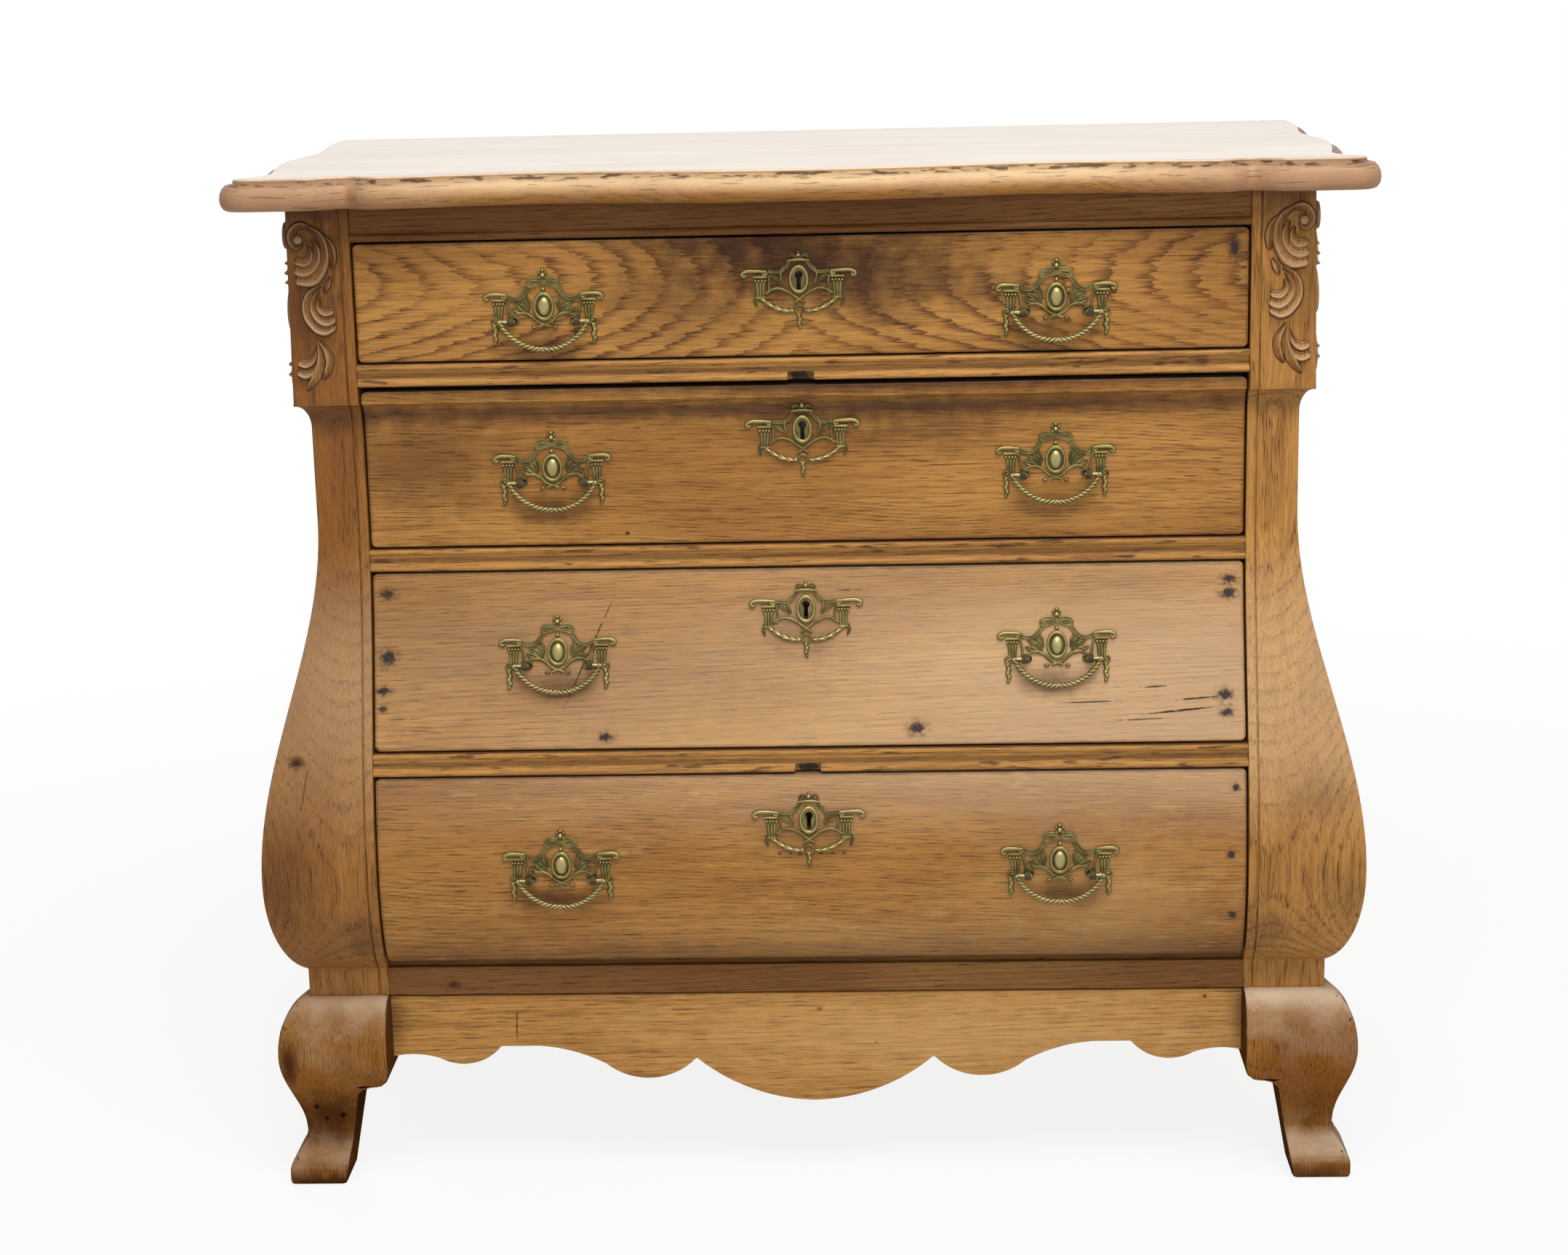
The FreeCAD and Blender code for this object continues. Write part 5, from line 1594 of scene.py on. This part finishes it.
def pierced_oval():
    """The oval of a key plate, cut through by the eye and the slot of its keyhole."""
    plate = slab(oval_points(8.0, 11.4, 36), 2.0)
    eye = cylinder(KEYHOLE_EYE, KEYHOLE_SLOT[2], (0, KEYHOLE_EYE_RISE, 0), 24)
    slot = box(KEYHOLE_SLOT, (0, -KEYHOLE_SLOT_DROP, 0))
    cut_out(plate, eye)
    cut_out(plate, slot)
    return plate


def key_plate_pattern():
    """The openwork key plate about its oval's middle, standing up along Z, in millimetres."""
    pieces = [pierced_oval()]
    pieces.append(ring(0, 0, 7.3, 1.2, 2.2, (1, 1.46, 1), 32))
    pieces += plate_ends(27.0, 48.0, 32.5, 5.2)
    pieces.append(strand([(-9.5, 15.6), (0, 16.6), (9.5, 15.6)], [1.2, 1.6, 1.2], lift=1.4))
    pieces.append(ball(0, 20.6, 2.3, 1.5))
    pieces.append(ball(0, 23.2, 1.4, 1.4))
    for _, side in SIDES:
        leaf = mirrored(side, (1.5, 16), (5, 21), (8.6, 18.6))
        pieces.append(strand(leaf, [0.8, 1.6, 1.2], "leaf", 1.0))
        tail = mirrored(side, (7.4, 15), (11, 10), (16, 6.4), (26, 6.8))
        pieces.append(strand(tail, 1.5, "ribbon", 1.2))
        bow = mirrored(side, (12.5, 11), (15.4, 4), (13, -3))
        pieces.append(strand(bow, [0.9, 1.3, 0.9], lift=1.2))
        sprig = mirrored(side, (24.5, 4), (19, 1), (13.4, -3.6))
        pieces.append(strand(sprig, [0.8, 2.0, 0.9], "leaf", 1.0))
        stile = mirrored(side, (25.6, 3.6), (25, -4), (25.6, -11.5))
        pieces.append(strand(stile, 1.1, lift=1.2))
        arch = mirrored(side, (29, -12), (20, -7.6), (12, -9), (0, -17), (-5, -20.4))
        pieces.append(strand(arch, [1.0, 1.2, 1.3, 1.2, 1.0], lift=1.3))
        swag = mirrored(side, (33, -15), (27, -19.6), (19, -24.2), (11, -26.4), (5, -26.6))
        pieces.append(strand(swag, [1.5, 2.0, 2.2, 2.0, 1.6], "rope", 1.6, side * 2.4, 8))
        tip = mirrored(side, (36, -13), (37.4, -18), (35.6, -23))
        pieces.append(strand(tip, [1.2, 1.6, 0.6], "leaf", 1.0))
    pieces.append(ring(0, -25.6, 3.6, 1.0, 1.4, segments=18))
    pieces += husks(0, -31, (1.9, 2.1, 1.9, 1.4), 3.2, 0.4, 1.3)
    pattern = joined(pieces, "key_plate_pattern")
    flat_relief(pattern, 3.4)
    return pattern


class CHEST_OT_key_plates(bpy.types.Operator):
    """Casts the key plates and sets one over each keyhole"""

    bl_idname = "chest.key_plates"
    bl_label = "Key plates"

    def execute(self, context):
        pattern = key_plate_pattern()
        finish = bpy.data.materials["cast_brass"]
        for number in DRAWERS:
            node = f"drawer_{number}_escutcheon"
            plate = copy_of(pattern, f"{node}_cast")
            move_points(plate, seated(KEY_HEIGHTS[number - 1], 0.0))
            turn_outwards(plate)
            dress(plate, node, finish)
        bpy.data.objects.remove(pattern)
        return {"FINISHED"}


def screw_head(x, y, level):
    head = cylinder(SCREW_RADIUS, SCREW_HEAD, (0, 0, 0), 16, ALONG_Y)
    slot = box(SCREW_SLOT, (0, SCREW_SLOT_DEPTH, 0))
    soften(head, 0.3)
    cut_out(head, slot)
    move_points(head, lambda point: point + Vector((x, y, level)))
    return head


class CHEST_OT_locks(bpy.types.Operator):
    """Makes the iron lock cases with their screws, and the bolts"""

    bl_idname = "chest.locks"
    bl_label = "Locks"

    def execute(self, context):
        finish = iron_finish()
        for number in DRAWERS:
            node = f"drawer_{number}_lock_case"
            low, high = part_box(node)
            keyhole = (0.0, KEY_HEIGHTS[number - 1], KEYHOLE_CLEARANCE)
            pieces = [worn_copy(node, "iron", IRON_EDGE, [keyhole])]
            for x in (low.x + SCREW_INSET, high.x - SCREW_INSET):
                for level in (low.z + SCREW_INSET, high.z - SCREW_DROP):
                    pieces.append(screw_head(x, high.y + SCREW_PROUD, level))
            dress(joined(pieces, f"{node}_iron", SHARP_DEGREES), node, finish)
            bolt = f"drawer_{number}_lock_bolt"
            dress(worn_copy(bolt, "iron", IRON_EDGE), bolt, finish)
        return {"FINISHED"}


# Camera as fitted to the photograph: place in metres, turns in degrees, sensor in millimetres
CAMERA_PLACE = Vector((0.0762, -2.6048, 1.0592))
CAMERA_YAW = -2.305
CAMERA_PITCH = 13.223
CAMERA_ROLL = -1.353
SENSOR_WIDTH = 36.0

# Floor, metres: its width, its drop below the feet, and where it starts and ends to fade to white
FLOOR_WIDTH = 60.0
FLOOR_DROP = 0.5 * MM
FLOOR_FADE = (0.4, 2.4)
FLOOR_SHADOW = 0.14
WHITE = (1, 1, 1)
WARM_WHITE = (1.0, 0.985, 0.965)

# Lamps: place, target, width and depth in metres, and whether the polish mirrors the lamp
LAMPS = {
    "key": ((0.35, -1.5, 2.8), (0, 0, 0.45), 2.4, 1.5, True),
    "fill": ((0.65, -3.1, 1.3), (0, 0, 0.45), 1.7, 1.0, False),
    "back": ((-1.0, 3.2, 1.9), (0, 0.2, 0.45), 2.2, 1.4, False),
}


def camera_turn():
    yaw, pitch, roll = (math.radians(angle) for angle in (CAMERA_YAW, CAMERA_PITCH, CAMERA_ROLL))
    ahead = Vector((math.sin(yaw) * math.cos(pitch), math.cos(yaw) * math.cos(pitch), -math.sin(pitch)))
    level = Vector((math.cos(yaw), -math.sin(yaw), 0.0))
    upward = level.cross(ahead)
    right = level * math.cos(roll) + upward * math.sin(roll)
    up = upward * math.cos(roll) - level * math.sin(roll)
    return Matrix((right, up, -ahead)).transposed().to_euler()


def soft_light(name, power, place, target, width, depth, reflected):
    lamp = bpy.data.lights.new(name, "AREA")
    lamp.shape = "RECTANGLE"
    lamp.size = width
    lamp.size_y = depth
    lamp.energy = power
    light = bpy.data.objects.new(name, lamp)
    light.location = place
    light.rotation_euler = (Vector(target) - Vector(place)).to_track_quat("-Z", "Y").to_euler()
    light.visible_glossy = reflected
    bpy.context.collection.objects.link(light)


def seen_directly(graph):
    node = graph.nodes.new("ShaderNodeLightPath")
    names = ("Is Camera Ray", "Is Glossy Ray", "Is Transmission Ray")
    camera, glossy, transmission = (Value(graph, node.outputs[name]) for name in names)
    return graph.maths("MAXIMUM", graph.maths("MAXIMUM", camera, glossy), transmission)


def floor_finish(colour):
    """A matt floor that keeps the chest's shadow, and is white where it is seen far from the chest."""
    material = new_material("pale_floor")
    graph = Graph(material.node_tree)
    far = graph.smooth(graph.vector("LENGTH", graph.object_place(), output="Value"), *FLOOR_FADE)
    matt = graph.add("ShaderNodeBsdfDiffuse", {}, {"Color": colour})
    white = graph.add("ShaderNodeEmission", {}, {"Color": WHITE, "Strength": 1.0})
    share = seen_directly(graph) * (far * FLOOR_SHADOW + (1.0 - FLOOR_SHADOW))
    surface = graph.add("ShaderNodeMixShader", {}, {0: share, 1: matt, 2: white})
    graph.add("ShaderNodeOutputMaterial", {}, {"Surface": surface})
    return material


def studio_world(strength):
    world = bpy.data.worlds.new("studio")
    world.use_nodes = True
    graph = Graph(world.node_tree)
    soft = graph.add("ShaderNodeBackground", {}, {"Color": WARM_WHITE, "Strength": strength})
    white = graph.add("ShaderNodeBackground", {}, {"Color": WHITE, "Strength": 1.0})
    surface = graph.add("ShaderNodeMixShader", {}, {0: seen_directly(graph), 1: soft, 2: white})
    graph.add("ShaderNodeOutputWorld", {}, {"Surface": surface})
    return world


class CHEST_OT_stage(bpy.types.Operator):
    """Sets up the pale floor, the soft studio light and the camera"""

    bl_idname = "chest.stage"
    bl_label = "Floor, light and camera"

    def execute(self, context):
        stage = context.scene.chest.stage
        deselect()
        bpy.ops.mesh.primitive_plane_add(size=FLOOR_WIDTH, location=(0, 0, -FLOOR_DROP))
        floor = context.object
        floor.name = "floor"
        floor.data.materials.append(floor_finish(stage.floor))
        context.scene.world = studio_world(stage.ambient)
        for name, lamp in LAMPS.items():
            soft_light(f"{name}_light", getattr(stage, name), *lamp)
        camera = bpy.data.cameras.new("camera")
        camera.sensor_width = SENSOR_WIDTH
        camera.lens = stage.lens
        view = bpy.data.objects.new("camera", camera)
        view.location = CAMERA_PLACE
        view.rotation_euler = camera_turn()
        context.collection.objects.link(view)
        context.scene.camera = view
        context.scene.view_settings.view_transform = "Standard"
        return {"FINISHED"}


OPERATORS = [
    CHEST_OT_top,
    CHEST_OT_posts,
    CHEST_OT_sides,
    CHEST_OT_rails,
    CHEST_OT_drawer_fronts,
    CHEST_OT_drawer_boxes,
    CHEST_OT_carving,
    CHEST_OT_handles,
    CHEST_OT_bails,
    CHEST_OT_key_plates,
    CHEST_OT_locks,
    CHEST_OT_stage,
]


class CHEST_PT_panel(bpy.types.Panel):
    """Lists the chest's pieces"""

    bl_label = "Chest of drawers"
    bl_space_type = "VIEW_3D"
    bl_region_type = "UI"
    bl_category = "Chest"

    def draw(self, context):
        for operator in OPERATORS:
            self.layout.operator(operator.bl_idname)


GROUPS = [OakFinish, BrassFinish, IronFinish, CarvingSizes, StageSettings, ChestSettings]
CLASSES = GROUPS + OPERATORS + [CHEST_PT_panel]


def register():
    for entry in CLASSES:
        bpy.utils.register_class(entry)
    bpy.types.Scene.chest = PointerProperty(type=ChestSettings)


def unregister():
    del bpy.types.Scene.chest
    for entry in reversed(CLASSES):
        bpy.utils.unregister_class(entry)


def main():
    register()
    bpy.ops.chest.top()
    bpy.ops.chest.posts()
    bpy.ops.chest.sides()
    bpy.ops.chest.rails()
    bpy.ops.chest.drawer_fronts()
    bpy.ops.chest.drawer_boxes()
    bpy.ops.chest.carving()
    bpy.ops.chest.handles()
    bpy.ops.chest.bails()
    bpy.ops.chest.key_plates()
    bpy.ops.chest.locks()
    bpy.ops.chest.stage()


if __name__ == "__main__":
    main()
